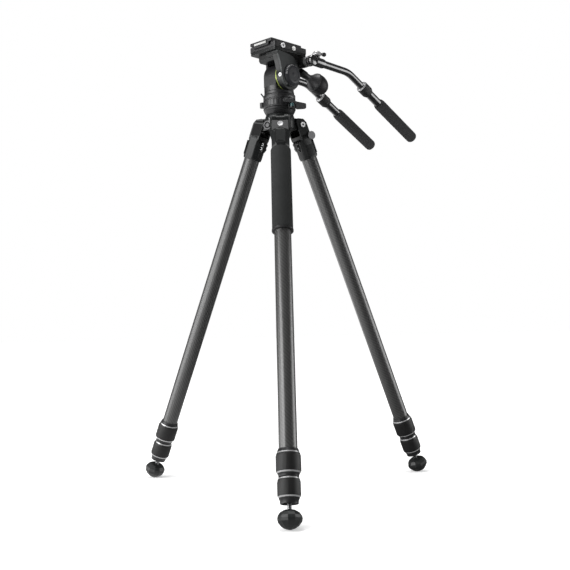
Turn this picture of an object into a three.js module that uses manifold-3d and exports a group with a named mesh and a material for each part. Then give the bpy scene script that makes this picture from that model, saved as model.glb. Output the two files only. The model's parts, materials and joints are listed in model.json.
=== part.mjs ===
// Video tripod: three telescopic carbon legs on a spider, a fluid head, a sliding camera plate
// and two telescopic pan handles. Millimetres, +Z up, the pan axis is the Z axis and the floor
// is z = 0. The front leg points along -Y; the head is panned by HEAD_PAN from there.

import * as THREE from 'three';
import { mergeVertices } from 'three/addons/utils/BufferGeometryUtils.js';
import Module from 'manifold-3d';

const wasm = await Module();
wasm.setup();

// ---------------------------------------------------------------- clearances

const SEAT = 0.3; // between pieces that touch
const TUBE_PLAY = 0.4; // radial play of telescopic tubes and their locks
const PIN_PLAY = 0.3; // radial play of pins, bolts and shafts

// ---------------------------------------------------------------- legs

const LEG_AZIMUTHS = { front: 0, right: 120, left: -120 };
const LEG_SPREAD = 22; // from vertical, on the angle stop
const HINGE_RADIUS = 42.3; // hinge line from the pan axis
const FOLD_DEPTH = 20; // how far the fork floor lies below the hinge

const TUBE_RADIUS = 16; // upper tube, outside
const TUBE_WALL = 1.5;
const MIDDLE_TUBE_RADIUS = TUBE_RADIUS - TUBE_WALL - TUBE_PLAY;
const LOWER_TUBE_RADIUS = MIDDLE_TUBE_RADIUS - TUBE_WALL - TUBE_PLAY;

// distances down the leg from the hinge
const TUBE_TOP = 37;
const TUBE_END = 690;
const MIDDLE_TUBE_TOP = 100;
const LOWER_TUBE_TOP = 115;
const TUBE_IN_LOCK = 26.5; // how far the upper tube reaches into the upper lock
const UPPER_LOCK_LENGTH = 46.5;
const LOWER_LOCK_LENGTH = 44;
const MIDDLE_TUBE_IN_LOCK = 26.4; // how far the middle tube reaches into the lower lock
const STUD_SHOWN = 9.3; // bare stud between the lower lock and the foot
const SOCKET_END = 70;
const SOCKET_TOP = 34; // upper edge of the round socket
const GRIP_END = 251;

const SOCKET_RADIUS = 18.3;
const FORK_STRAIGHT = 9; // sides of the fork, below its floor
const FORK_TAPER = 13; // from there down to the round socket
const TONGUE_HALF = 16.6; // spider tongue between the fork ears
const EAR_THICKNESS = 3.6;
const EAR_BACK = 13; // ears, toward the pan axis
const EAR_FRONT = 10.5; // ears, away from the pan axis
const EAR_TOP = 16.5; // at the back, above the hinge
const EAR_TOP_FRONT = 10;
const EAR_CORNER = 4.5; // cut off the upper corners
const EAR_CORNER_DROP = 8;
const EAR_ROOT = 6; // how far the ears reach down the fork
const TONGUE_RADIUS = 12; // round end of the tongue
const TONGUE_HEIGHT = 12; // half height of the tongue
const BOLT_RADIUS = 3;
const BOLT_HEAD_RADIUS = 5.8;
const BOLT_HEAD_LENGTH = 1.4;
const TAB_FRONT = 13;
const TAB_BACK = 9;
const TAB_TOP = 9; // below the hinge
const TAB_BOTTOM = 33;
const TAB_ARCH_RISE = 5;
const TAB_ARCH_HALF = 12;
const LUG_HALF = 6; // pinch lug on the socket's inner side
const LUG_DEPTH = 22;
const LUG_TOP = 27;
const LUG_BOTTOM = 47;
const LUG_CORNER = 4;
const LUG_SLOPE = 8; // along the leg, at the lug's lower end
const LUG_ROOT = 2; // how far the lug's lower end reaches into the socket
// capped boss for an accessory, on the right leg only
const BOSS_AT = { front: 11, down: 26.3 };
const BOSS_RADIUS = 5;
const BOSS_CAP_RADIUS = 8.5;
const BOSS_CAP_LENGTH = 3;
const BOSS_ROOT = 3.4; // how far its shaft reaches into the ear

const LOCK_RADIUS = 21.4; // upper lock, rubber
const LOCK_LIP_WALL = 1.5; // upper edge, outside the tube
const LOCK_SHOULDER = 12; // from the upper edge to the full radius
const LOCK_NECK = 9.5; // narrowing at the lower end
const LOWER_LOCK_RADIUS = 19.8;
const LOWER_LOCK_SHOULDER = 9;
const LOWER_LOCK_NECK = 16;
const LOWER_LOCK_EDGE = 7; // last part of that narrowing
const GRIP_RADIUS = 19.95;
const GRIP_RIM = 0.7;
const GRIP_RIM_LENGTH = 4;

const FOOT_RADIUS = 21.5;
const FOOT_UPPER_HALF = 14.4; // from its widest place up to the neck
const FOOT_LOWER_HALF = 17.6; // from its widest place down to the tip
const FOOT_NECK = 7;
const STUD_RADIUS = 4;
const STUD_GRIP = 10.7; // length of stud inside the lower tube's plug
const STUD_IN_FOOT = 7;
const PLUG_LENGTH = 22;

// ---------------------------------------------------------------- spider and pan base

const HUB_RADIUS = 30;
const HUB_TOP_RADIUS = 28;
const HUB_TOP = 18; // above the hinges
const HUB_SHOULDER = 12; // below the hinges
const HUB_BOTTOM = 34; // below the hinges
const HUB_BOTTOM_RADIUS = 17;
const HEAD_STUD_RADIUS = 4.8;
const HEAD_STUD_LENGTH = 12;
const HOOK_KNOB_RADIUS = 12;
const HOOK_KNOB_HEIGHT = 7;

const MOUNT_PLATE_RADIUS = 33;
const MOUNT_PLATE_HEIGHT = 12.7;
const PAN_BASE_RADIUS = 33.2;
const PAN_BASE_HEIGHT = 18;
const PAN_NECK_RADIUS = 29.5;
const PAN_NECK_HEIGHT = 9;
const DRAG_RING_RADIUS = 32.8;
const DRAG_TIP_REACH = 38;
const DRAG_TIP_RISE = 8.5;
const DRAG_TIP_RADIUS = 1.6;
const BASE_LUG_REACH = 40;
const BASE_LUG_HALF = 7;
const BASE_LUG_BOTTOM = 3.4; // above the bottom of the pan base
const BASE_LUG_TOP = 13.2;
const LOCK_LEVER_AZIMUTH = -70;
const LOCK_LEVER_DROP = 5.5; // lever pin below the top of the pan base
const LOCK_LEVER_REACH = 43;
const LOCK_LEVER_THICKNESS = 6;
const LOCK_LEVER_HUB = 5.5;
const LOCK_LEVER_NECK = 19; // length of the narrow part, from the pin
const LOCK_LEVER_NECK_DROP = 1; // slope of its lower edge
const LOCK_LEVER_STEP = 3.5; // along the lever, from the neck to the paddle
const LOCK_PADDLE_TOP = 4; // paddle's root, below the pin
const LOCK_PADDLE_BOTTOM = 19.4;
const LOCK_PADDLE_TAPER = 2.5; // from its root to its tip, above and below
const LOCK_PADDLE_CORNER = 2;
const LOCK_PIN_RADIUS = 2.5;
const LOCK_PIN_LENGTH = 7;
const BUBBLE_AZIMUTH = -50;
const BUBBLE_RADIUS = 4.2;
const BUBBLE_OFFSET = 39.5;
const BUBBLE_HEIGHT = 8.6;
const BUBBLE_DROP = 3.2; // bottom of the vial below the bottom of the pan base
const BUBBLE_SHELF = 1.4;
const BUBBLE_RIM = 1; // shelf, beyond the vial
const BUBBLE_WALL = 1.8; // wall that carries the shelf
const BUBBLE_WALL_RISE = 4;

// ---------------------------------------------------------------- head, x along the tilt axis

const HEAD_PAN = -45; // the tilt axis, turned from +X
const PAN_BODY_RADIUS = 30.5;
const PAN_BODY_HEIGHT = 16;
const TILT_HEIGHT = 35.5; // tilt axis above the bottom of the pan body
const BARREL_RADIUS = 28;
const BARREL_LEFT = -16;
const BARREL_RIGHT = 18;
const SHAFT_RADIUS = 8;
const ACCENT_RADIUS = 28.6;
const ACCENT_WIDTH = 1.7;
const CHEEK_RADIUS = 28.5;
const CHEEK_THICKNESS = 10.7; // its inner, fully round layer
const CHEEK_OUTER = 6.3; // its outer layer, which carries the dial
const CHEEK_OUTER_RADIUS = 22.5; // behind and below the tilt axis
const NECK_FRONT = 40; // the cheek flares forward to this under the saddle
const NECK_FLARE_TOP = 36; // the flare, above the tilt axis
const NECK_MIDDLE_FRONT = 32;
const NECK_MIDDLE_RISE = 24;
const NECK_BACK = 26; // back of the cheek under the saddle
const SMALL_CHEEK_RADIUS = 14;
const SMALL_CHEEK_THICKNESS = 5.7;
const SADDLE_LEFT = -23;
const SADDLE_FRONT = -34;
const SADDLE_BACK = 36;
const SADDLE_RISE = 30; // underside above the tilt axis
const SADDLE_HEIGHT = 15;
const SADDLE_CHAMFER = 4; // lower front edge
const DIAL_RADIUS = 21.5;
const DIAL_EDGE = 1.9; // straight part of the dial's edge
const DIAL_WIDTH = 6;
const DIAL_FACE_RADIUS = 17;

const KNOB_RADIUS = 20.5;
const KNOB_STEM_RADIUS = 7;
const KNOB_LENGTH = 64;
const KNOB_NECK = 11; // length of the stem's straight part
const KNOB_FLARE = 15; // from there to the cap's rim
const KNOB_FLARE_WAIST = 5; // how far the stem has widened halfway
const KNOB_RIM = 4;
const KNOB_DOME = 26; // rounded end of the cap
const KNOB_X = 30;
const KNOB_START = 47.5; // behind the tilt axis
const KNOB_RISE = 9; // above the tilt axis
const KNOB_DROOP = 18;
const ARM_RADIUS = 8;
const ARM_LENGTH = 17;
const ARM_ROOT = 14; // how far the knob's arm reaches into the wide cheek

const CLAMP_HALF = 37;
const CLAMP_FRONT = -46;
const CLAMP_BACK = 45;
const CLAMP_HEIGHT = 16.5;
const CHANNEL_HALF = 22.3;
const CHANNEL_DEPTH = 6;
const PLATE_HALF = 31;
const PLATE_FRONT = -51;
const PLATE_BACK = 36.5;
const PLATE_HEIGHT = 6.2;
const PAD_INSET = 5;
const PAD_HEIGHT = 1.2;
const CAMERA_SCREW_RADIUS = 3.1;
const CAMERA_SCREW_HEAD = 8;
const CAMERA_SCREW_RISE = 5.5;
const SIDE_HOLE_RISE = 10.4; // above the clamp's underside
const CLAMP_KNOB_RADIUS = 5.2;
const CLAMP_KNOB_Y = -25;
const BUTTON_RADIUS = 4.5;
const BUTTON_Y = 6.5;
const SIDE_KNOB_LENGTH = 2.4;
const SIDE_PIN_RADIUS = 2.5;
const SIDE_PIN_LENGTH = 8;
const BUTTON_TRAVEL = 2;
const BUTTON_DEPTH = 6; // inside the clamp
const BUTTON_PROUD = 2.3; // outside the clamp

// ---------------------------------------------------------------- pan handles

const HANDLE_X = 60; // bar from the head's middle plane
const HANDLE_Y = 36; // rosette axis behind the tilt axis
const HANDLE_RISE = 32; // rosette axis above the tilt axis
const HANDLE_DROOP = 2;
const ROSETTE_RADIUS = 11;
const ROSETTE_SPLIT = 50; // where the platform's rosette meets the handle's
const ROSETTE_OUTER = 7; // handle rosette beyond the bar's middle
const CROSSBAR_RADIUS = 10.5;
const BAR_RADIUS = 7.5;
const BAR_STRAIGHT = 112; // from the rosette to the bend's corner
const BEND_ANGLE = 24.4;
const BEND_RADIUS = 60;
const BAR_TAIL = 180; // from the bend's corner to the bar's end
const SLEEVE_RADIUS = 9.6;
const SLEEVE_START = 8;
const SLEEVE_END = 34;
const LEVER_Y = 14;
const LEVER_BOSS_RADIUS = 7;
const LEVER_BOSS_TOP = 12;
const LEVER_HUB_RADIUS = 8;
const LEVER_HUB_HEIGHT = 9;
const LEVER_REACH = 22;
const LEVER_ARM_RADIUS = 2.6;
const LEVER_TIP_RADIUS = 4.4;
const LEVER_PIN_RADIUS = 2.5;
const LEVER_PIN_LENGTH = 6;
const COLLAR_START = 47; // from the bend's corner
const COLLAR_LENGTH = 28;
const COLLAR_RADIUS = 12.5;
const OUTER_TUBE_RADIUS = 9;
const OUTER_TUBE_START = 56;
const OUTER_TUBE_END = 240;
const HANDLE_GRIP_START = 112;
const HANDLE_GRIP_END = 250.6;
const HANDLE_GRIP_RADIUS = 12.5;
const HANDLE_GRIP_ROUND = 5; // rounded end
const HANDLE_GRIP_TAPER = 6; // shorter taper toward the collar

// ---------------------------------------------------------------- levels that follow from these

const rad = THREE.MathUtils.degToRad;

const UPPER_LOCK_TOP = TUBE_END - TUBE_IN_LOCK;
const UPPER_LOCK_END = UPPER_LOCK_TOP + UPPER_LOCK_LENGTH;
const LOWER_LOCK_TOP = UPPER_LOCK_END + SEAT;
const LOWER_LOCK_END = LOWER_LOCK_TOP + LOWER_LOCK_LENGTH;
const MIDDLE_TUBE_END = LOWER_LOCK_TOP + MIDDLE_TUBE_IN_LOCK;
const LOWER_TUBE_END = LOWER_LOCK_END - 1;
const FOOT_TOP = LOWER_LOCK_END + STUD_SHOWN;
const FOOT_CENTRE = FOOT_TOP + FOOT_UPPER_HALF;

// a round foot of half axes FOOT_RADIUS and FOOT_LOWER_HALF, leaning with the leg, stands on z = 0
const footDrop = Math.hypot(
  FOOT_LOWER_HALF * Math.cos(rad(LEG_SPREAD)), FOOT_RADIUS * Math.sin(rad(LEG_SPREAD)));
const HINGE_Z = FOOT_CENTRE * Math.cos(rad(LEG_SPREAD)) + footDrop;
const HUB_TOP_Z = HINGE_Z + HUB_TOP;
const MOUNT_PLATE_Z = HUB_TOP_Z + SEAT;
const PAN_BASE_Z = MOUNT_PLATE_Z + MOUNT_PLATE_HEIGHT + SEAT;
const PAN_NECK_Z = PAN_BASE_Z + PAN_BASE_HEIGHT;
const PAN_BODY_Z = PAN_NECK_Z + PAN_NECK_HEIGHT + SEAT;
const TILT_Z = PAN_BODY_Z + TILT_HEIGHT;
const SADDLE_TOP = SADDLE_RISE + SADDLE_HEIGHT; // the head's own levels count from the tilt axis
const CLAMP_BOTTOM = SADDLE_TOP + SEAT;
const CLAMP_TOP = CLAMP_BOTTOM + CLAMP_HEIGHT;
const PLATE_TOP = CLAMP_TOP + SEAT + PLATE_HEIGHT;
const PAD_TOP = PLATE_TOP + SEAT + PAD_HEIGHT;

const EAR_OUTER = TONGUE_HALF + SEAT + EAR_THICKNESS;

// ---------------------------------------------------------------- materials

function finish(color, roughness, metalness) {
  return new THREE.MeshStandardMaterial({ color, roughness, metalness });
}

const CARBON = finish(0x3a3b3c, 0.45, 0.1);
const CASTING = finish(0x232425, 0.5, 0.6);
const ANODISED = finish(0x1c1d1e, 0.45, 0.7);
const RUBBER = finish(0x161717, 0.85, 0);
const FOAM = finish(0x242526, 0.95, 0);
const STEEL = finish(0xc4c6c8, 0.3, 1);
const ALLOY = finish(0x9b9d9f, 0.4, 0.9);
const ACCENT = finish(0xc3cb96, 0.5, 0.2);
const VIAL = finish(0x4f8f8c, 0.15, 0);
const WHITE_PLASTIC = finish(0xe8e8e6, 0.4, 0);

// ---------------------------------------------------------------- shapes

const ROUND_SIDES = 16;
const WIDE_SIDES = 24; // for the wide turned pieces of the head
const PIN_SIDES = 12;
const CURVE_STEPS = 5; // along each curved edge of a plate
const CHEEK_STEPS = 12; // along the wide cheek's round edge

// a closed mesh as a solid that can be joined and cut
function solid(geometry) {
  const bare = geometry.clone();
  bare.deleteAttribute('normal');
  bare.deleteAttribute('uv');
  const merged = mergeVertices(bare, 1e-4);
  const index = merged.index.array;
  const triVerts = [];
  for (let i = 0; i < index.length; i += 3) {
    const [a, b, c] = index.slice(i, i + 3);
    if (a !== b && b !== c && c !== a) triVerts.push(a, b, c);
  }
  return new wasm.Manifold(new wasm.Mesh({
    numProp: 3,
    vertProperties: Float32Array.from(merged.attributes.position.array),
    triVerts: Uint32Array.from(triVerts),
  }));
}

function geometryOf(shape) {
  const mesh = shape.getMesh();
  const geometry = new THREE.BufferGeometry();
  geometry.setAttribute('position', new THREE.BufferAttribute(mesh.vertProperties, 3));
  geometry.setIndex(new THREE.BufferAttribute(mesh.triVerts, 1));
  geometry.computeVertexNormals();
  return geometry;
}

const joined = (first, ...others) => others.reduce((whole, other) => whole.add(other), first);
const cut = (first, ...others) => others.reduce((whole, other) => whole.subtract(other), first);

function block([x0, x1], [y0, y1], [z0, z1]) {
  const box = new THREE.BoxGeometry(x1 - x0, y1 - y0, z1 - z0);
  return solid(box.translate((x0 + x1) / 2, (y0 + y1) / 2, (z0 + z1) / 2));
}

// outline of [radius, height] points, counter-clockwise, turned about Z
function turned(outline, sides = ROUND_SIDES) {
  const points = outline.map(([r, z]) => new THREE.Vector2(r, z));
  if (outline[0][0] > 0) points.push(points[0].clone());
  return solid(new THREE.LatheGeometry(points, sides).rotateX(Math.PI / 2));
}

// the same for a leg piece, whose points count down the leg: [radius, distance from the hinge]
function turnedDown(outline, sides = ROUND_SIDES) {
  return turned(outline.map(([r, s]) => [r, -s]).reverse(), sides);
}

function rod(radius, from, to, sides = ROUND_SIDES) {
  return turned([[0, from], [radius, from], [radius, to], [0, to]], sides);
}

const alongX = (shape) => shape.rotate([0, 90, 0]);
const alongY = (shape) => shape.rotate([-90, 0, 0]);

// a shape drawn in the YZ plane, as a plate from x0 to x1
function sidePlate(shape, x0, x1, curveSegments = CURVE_STEPS) {
  const plate = new THREE.ExtrudeGeometry(shape, { depth: x1 - x0, bevelEnabled: false, curveSegments });
  const axes = new THREE.Matrix4().makeBasis(
    new THREE.Vector3(0, 1, 0), new THREE.Vector3(0, 0, 1), new THREE.Vector3(1, 0, 0));
  return solid(plate.applyMatrix4(axes).translate(x0, 0, 0));
}

// a shape drawn in the XZ plane, as a plate from y0 to y1
function frontPlate(shape, y0, y1, curveSegments = CURVE_STEPS) {
  const plate = new THREE.ExtrudeGeometry(shape, { depth: y1 - y0, bevelEnabled: false, curveSegments });
  return solid(plate.rotateX(Math.PI / 2).translate(0, y1, 0));
}

function polygon(points) {
  return new THREE.Shape(points.map(([u, v]) => new THREE.Vector2(u, v)));
}

function add(parent, name, shape, material) {
  const mesh = new THREE.Mesh(geometryOf(shape), material);
  mesh.name = name;
  parent.add(mesh);
  return mesh;
}

// ---------------------------------------------------------------- leg pieces, hinge at the origin

function earOutline() {
  const shape = new THREE.Shape();
  shape.moveTo(EAR_BACK, -FOLD_DEPTH - EAR_ROOT);
  shape.lineTo(EAR_BACK, EAR_TOP - EAR_CORNER_DROP);
  shape.lineTo(EAR_BACK - EAR_CORNER, EAR_TOP);
  shape.lineTo(-EAR_FRONT + EAR_CORNER, EAR_TOP_FRONT);
  shape.lineTo(-EAR_FRONT, EAR_TOP_FRONT - EAR_CORNER_DROP);
  shape.lineTo(-EAR_FRONT, -FOLD_DEPTH - EAR_ROOT);
  return shape;
}

// capped boss on the left ear's outer side
function accessoryBoss() {
  const shaft = rod(BOSS_RADIUS, -EAR_OUTER - SEAT, -EAR_OUTER + BOSS_ROOT);
  const cap = rod(BOSS_CAP_RADIUS, -EAR_OUTER - BOSS_CAP_LENGTH, -EAR_OUTER);
  return alongX(joined(shaft, cap)).translate([0, -BOSS_AT.front, -BOSS_AT.down]);
}

// fork with two ears, narrowing into the round socket that holds the tube. The tab lies in a
// pocket in its front
function socket(side) {
  const inner = TONGUE_HALF + SEAT;
  const shoulder = -FOLD_DEPTH - FORK_STRAIGHT;
  const fork = polygon([
    [EAR_OUTER, -FOLD_DEPTH], [-EAR_OUTER, -FOLD_DEPTH], [-EAR_OUTER, shoulder],
    [-SOCKET_RADIUS + 1, shoulder - FORK_TAPER], [SOCKET_RADIUS - 1, shoulder - FORK_TAPER],
    [EAR_OUTER, shoulder],
  ]);
  const lug = polygon([
    [0, -LUG_TOP], [0, -LUG_BOTTOM - LUG_SLOPE], [SOCKET_RADIUS - LUG_ROOT, -LUG_BOTTOM - LUG_SLOPE],
    [LUG_DEPTH, -LUG_BOTTOM], [LUG_DEPTH, -LUG_TOP - LUG_CORNER],
    [LUG_DEPTH - LUG_CORNER, -LUG_TOP],
  ]);
  const bulk = joined(
    rod(SOCKET_RADIUS, -SOCKET_END, -SOCKET_TOP),
    frontPlate(fork, -EAR_FRONT, EAR_BACK),
    sidePlate(earOutline(), inner, EAR_OUTER),
    sidePlate(earOutline(), -EAR_OUTER, -inner),
    sidePlate(lug, -LUG_HALF, LUG_HALF),
    ...(side === 'right' ? [accessoryBoss()] : []),
  );
  const pocket = block([-inner, inner], [-TAB_FRONT, -TAB_BACK + SEAT],
    [-TAB_BOTTOM - SEAT, -FOLD_DEPTH + 1]);
  const bore = rod(TUBE_RADIUS + SEAT + 0.1, -SOCKET_END - 1, -TUBE_TOP + SEAT);
  const pivot = alongX(rod(BOLT_RADIUS + PIN_PLAY, -EAR_OUTER - 1, EAR_OUTER + 1, PIN_SIDES));
  return cut(bulk, pocket, bore, pivot);
}

function pivotBolt() {
  const head = EAR_OUTER + SEAT;
  const end = head + BOLT_HEAD_LENGTH;
  return alongX(turned([
    [0, -end], [BOLT_HEAD_RADIUS, -end], [BOLT_HEAD_RADIUS, -head], [BOLT_RADIUS, -head],
    [BOLT_RADIUS, head], [BOLT_HEAD_RADIUS, head], [BOLT_HEAD_RADIUS, end], [0, end],
  ], PIN_SIDES));
}

// pull tab of the angle stop, with an arched lower edge for the finger
function angleTab() {
  const half = TONGUE_HALF;
  const shape = new THREE.Shape();
  shape.moveTo(half, -TAB_TOP);
  shape.lineTo(-half, -TAB_TOP);
  shape.lineTo(-half, -TAB_BOTTOM + SEAT);
  shape.lineTo(-TAB_ARCH_HALF, -TAB_BOTTOM + SEAT);
  shape.quadraticCurveTo(0, -TAB_BOTTOM + 2 * TAB_ARCH_RISE, TAB_ARCH_HALF, -TAB_BOTTOM + SEAT);
  shape.lineTo(half, -TAB_BOTTOM + SEAT);
  return frontPlate(shape, -TAB_FRONT, -TAB_BACK);
}

function hollowTube(radius, from, to) {
  const bore = radius - TUBE_WALL;
  return turnedDown([[bore, to], [bore, from], [radius, from], [radius, to]]);
}

function upperLock() {
  const top = UPPER_LOCK_TOP;
  const end = UPPER_LOCK_END;
  const mouth = TUBE_RADIUS + TUBE_PLAY;
  const bore = MIDDLE_TUBE_RADIUS + TUBE_PLAY;
  return turnedDown([
    [bore, end], [bore, TUBE_END + SEAT], [mouth, TUBE_END + SEAT], [mouth, top],
    [TUBE_RADIUS + LOCK_LIP_WALL, top], [LOCK_RADIUS, top + LOCK_SHOULDER],
    [LOCK_RADIUS, end - LOCK_NECK], [LOCK_RADIUS - 2.4, end - LOCK_NECK + 6],
    [TUBE_RADIUS + 0.3, end],
  ]);
}

function lowerLock() {
  const top = LOWER_LOCK_TOP;
  const end = LOWER_LOCK_END;
  const mouth = MIDDLE_TUBE_RADIUS + TUBE_PLAY;
  const bore = LOWER_TUBE_RADIUS + TUBE_PLAY;
  return turnedDown([
    [bore, end], [bore, MIDDLE_TUBE_END + SEAT], [mouth, MIDDLE_TUBE_END + SEAT], [mouth, top],
    [TUBE_RADIUS, top], [LOWER_LOCK_RADIUS - 1.6, top + 3.5],
    [LOWER_LOCK_RADIUS, top + LOWER_LOCK_SHOULDER], [LOWER_LOCK_RADIUS, end - LOWER_LOCK_NECK],
    [LOWER_LOCK_RADIUS - 1.6, end - LOWER_LOCK_EDGE], [LOWER_LOCK_RADIUS - 4.8, end],
  ]);
}

// tube with a plug in its lower end that takes the foot stud
function lowerTube() {
  const bore = LOWER_TUBE_RADIUS - TUBE_WALL;
  const end = LOWER_TUBE_END;
  const hole = STUD_RADIUS + PIN_PLAY;
  return turnedDown([
    [0, end - PLUG_LENGTH], [bore, end - PLUG_LENGTH], [bore, LOWER_TUBE_TOP],
    [LOWER_TUBE_RADIUS, LOWER_TUBE_TOP], [LOWER_TUBE_RADIUS, end], [hole, end],
    [hole, end - STUD_GRIP - SEAT], [0, end - STUD_GRIP - SEAT],
  ]);
}

function footStud() {
  const start = LOWER_TUBE_END - STUD_GRIP;
  const end = FOOT_TOP + STUD_IN_FOOT;
  return turnedDown([[0, start], [STUD_RADIUS, start], [STUD_RADIUS, end], [0, end]], PIN_SIDES);
}

// rubber ball foot: half an ellipse above and below its widest place
function foot() {
  const hole = STUD_RADIUS + PIN_PLAY;
  const outline = [[0, FOOT_TOP + STUD_IN_FOOT + SEAT], [hole, FOOT_TOP + STUD_IN_FOOT + SEAT],
    [hole, FOOT_TOP]];
  const neckAngle = Math.asin(FOOT_NECK / FOOT_RADIUS);
  const upperSteps = 3;
  for (let i = 0; i <= upperSteps; i++) {
    const angle = neckAngle + (Math.PI / 2 - neckAngle) * (i / upperSteps);
    const height = Math.cos(angle) / Math.cos(neckAngle);
    outline.push([FOOT_RADIUS * Math.sin(angle), FOOT_CENTRE - FOOT_UPPER_HALF * height]);
  }
  const lowerSteps = 5;
  for (let i = 1; i <= lowerSteps; i++) {
    const angle = (Math.PI / 2) * (i / lowerSteps);
    const radius = i === lowerSteps ? 0 : FOOT_RADIUS * Math.cos(angle);
    outline.push([radius, FOOT_CENTRE + FOOT_LOWER_HALF * Math.sin(angle)]);
  }
  return turnedDown(outline);
}

// foam sleeve round the upper tube, with a thin rim at its lower end
function legGrip() {
  const bore = TUBE_RADIUS + SEAT;
  const start = SOCKET_END + SEAT;
  const rim = GRIP_END - GRIP_RIM_LENGTH;
  return turnedDown([
    [bore, GRIP_END], [bore, start], [GRIP_RADIUS - 1, start], [GRIP_RADIUS, start + 2],
    [GRIP_RADIUS, rim], [GRIP_RADIUS + GRIP_RIM, rim], [GRIP_RADIUS + GRIP_RIM, GRIP_END],
  ]);
}

function buildLeg(side) {
  const turn = new THREE.Group();
  turn.rotation.z = rad(LEG_AZIMUTHS[side]);
  const leg = new THREE.Group();
  leg.position.set(0, -HINGE_RADIUS, HINGE_Z);
  leg.rotation.x = -rad(LEG_SPREAD);
  turn.add(leg);
  add(leg, `leg_${side}_socket`, socket(side), CASTING);
  add(leg, `leg_${side}_pivot_bolt`, pivotBolt(), STEEL);
  add(leg, `leg_${side}_angle_tab`, angleTab(), side === 'front' ? ALLOY : CASTING);
  add(leg, `leg_${side}_upper_tube`, hollowTube(TUBE_RADIUS, TUBE_TOP, TUBE_END), CARBON);
  add(leg, `leg_${side}_upper_lock`, upperLock(), RUBBER);
  add(leg, `leg_${side}_middle_tube`,
    hollowTube(MIDDLE_TUBE_RADIUS, MIDDLE_TUBE_TOP, MIDDLE_TUBE_END), CARBON);
  add(leg, `leg_${side}_lower_lock`, lowerLock(), RUBBER);
  add(leg, `leg_${side}_lower_tube`, lowerTube(), CARBON);
  add(leg, `leg_${side}_foot_stud`, footStud(), STEEL);
  add(leg, `leg_${side}_foot`, foot(), RUBBER);
  if (side === 'front') add(leg, `leg_${side}_grip`, legGrip(), FOAM);
  return turn;
}

// ---------------------------------------------------------------- spider, mounting plate, pan base

function tongue(azimuth) {
  const shape = new THREE.Shape();
  shape.moveTo(HINGE_RADIUS, -TONGUE_HEIGHT);
  shape.lineTo(HINGE_RADIUS, TONGUE_HEIGHT);
  shape.lineTo(0, TONGUE_HEIGHT);
  shape.absarc(0, 0, TONGUE_RADIUS, Math.PI / 2, Math.PI * 1.5, false);
  const bar = sidePlate(shape, -TONGUE_HALF, TONGUE_HALF);
  const pivot = alongX(rod(BOLT_RADIUS + PIN_PLAY, -TONGUE_HALF - 1, TONGUE_HALF + 1, PIN_SIDES));
  return cut(bar, pivot).translate([0, -HINGE_RADIUS, HINGE_Z]).rotate([0, 0, azimuth]);
}

function spider() {
  const hub = turned([
    [0, HINGE_Z - HUB_BOTTOM], [HUB_BOTTOM_RADIUS, HINGE_Z - HUB_BOTTOM],
    [HUB_BOTTOM_RADIUS, HINGE_Z - HUB_SHOULDER], [HUB_RADIUS, HINGE_Z - HUB_SHOULDER],
    [HUB_RADIUS, HUB_TOP_Z - 6], [HUB_TOP_RADIUS, HUB_TOP_Z], [0, HUB_TOP_Z],
  ], WIDE_SIDES);
  const hole = HEAD_STUD_RADIUS + PIN_PLAY;
  const topHole = rod(hole, HUB_TOP_Z - HEAD_STUD_LENGTH - 1, HUB_TOP_Z + 1);
  const hubBottomZ = HINGE_Z - HUB_BOTTOM;
  const bottomHole = rod(hole, hubBottomZ - 1, hubBottomZ + HEAD_STUD_LENGTH);
  return cut(joined(hub, ...Object.values(LEG_AZIMUTHS).map(tongue)), topHole, bottomHole);
}

function hookKnob() {
  const top = HINGE_Z - HUB_BOTTOM - SEAT;
  return turned([
    [0, top - HOOK_KNOB_HEIGHT], [HOOK_KNOB_RADIUS - 2, top - HOOK_KNOB_HEIGHT],
    [HOOK_KNOB_RADIUS, top - HOOK_KNOB_HEIGHT + 2], [HOOK_KNOB_RADIUS, top],
    [HEAD_STUD_RADIUS, top], [HEAD_STUD_RADIUS, top + HEAD_STUD_LENGTH - 1],
    [0, top + HEAD_STUD_LENGTH - 1],
  ]);
}

function mountingPlate() {
  const top = MOUNT_PLATE_Z + MOUNT_PLATE_HEIGHT;
  return turned([
    [0, MOUNT_PLATE_Z - HEAD_STUD_LENGTH], [HEAD_STUD_RADIUS, MOUNT_PLATE_Z - HEAD_STUD_LENGTH],
    [HEAD_STUD_RADIUS, MOUNT_PLATE_Z], [HUB_TOP_RADIUS, MOUNT_PLATE_Z],
    [MOUNT_PLATE_RADIUS, top - 3], [MOUNT_PLATE_RADIUS, top], [HEAD_STUD_RADIUS, top],
    [HEAD_STUD_RADIUS, top + HEAD_STUD_LENGTH], [0, top + HEAD_STUD_LENGTH],
  ], WIDE_SIDES);
}

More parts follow.
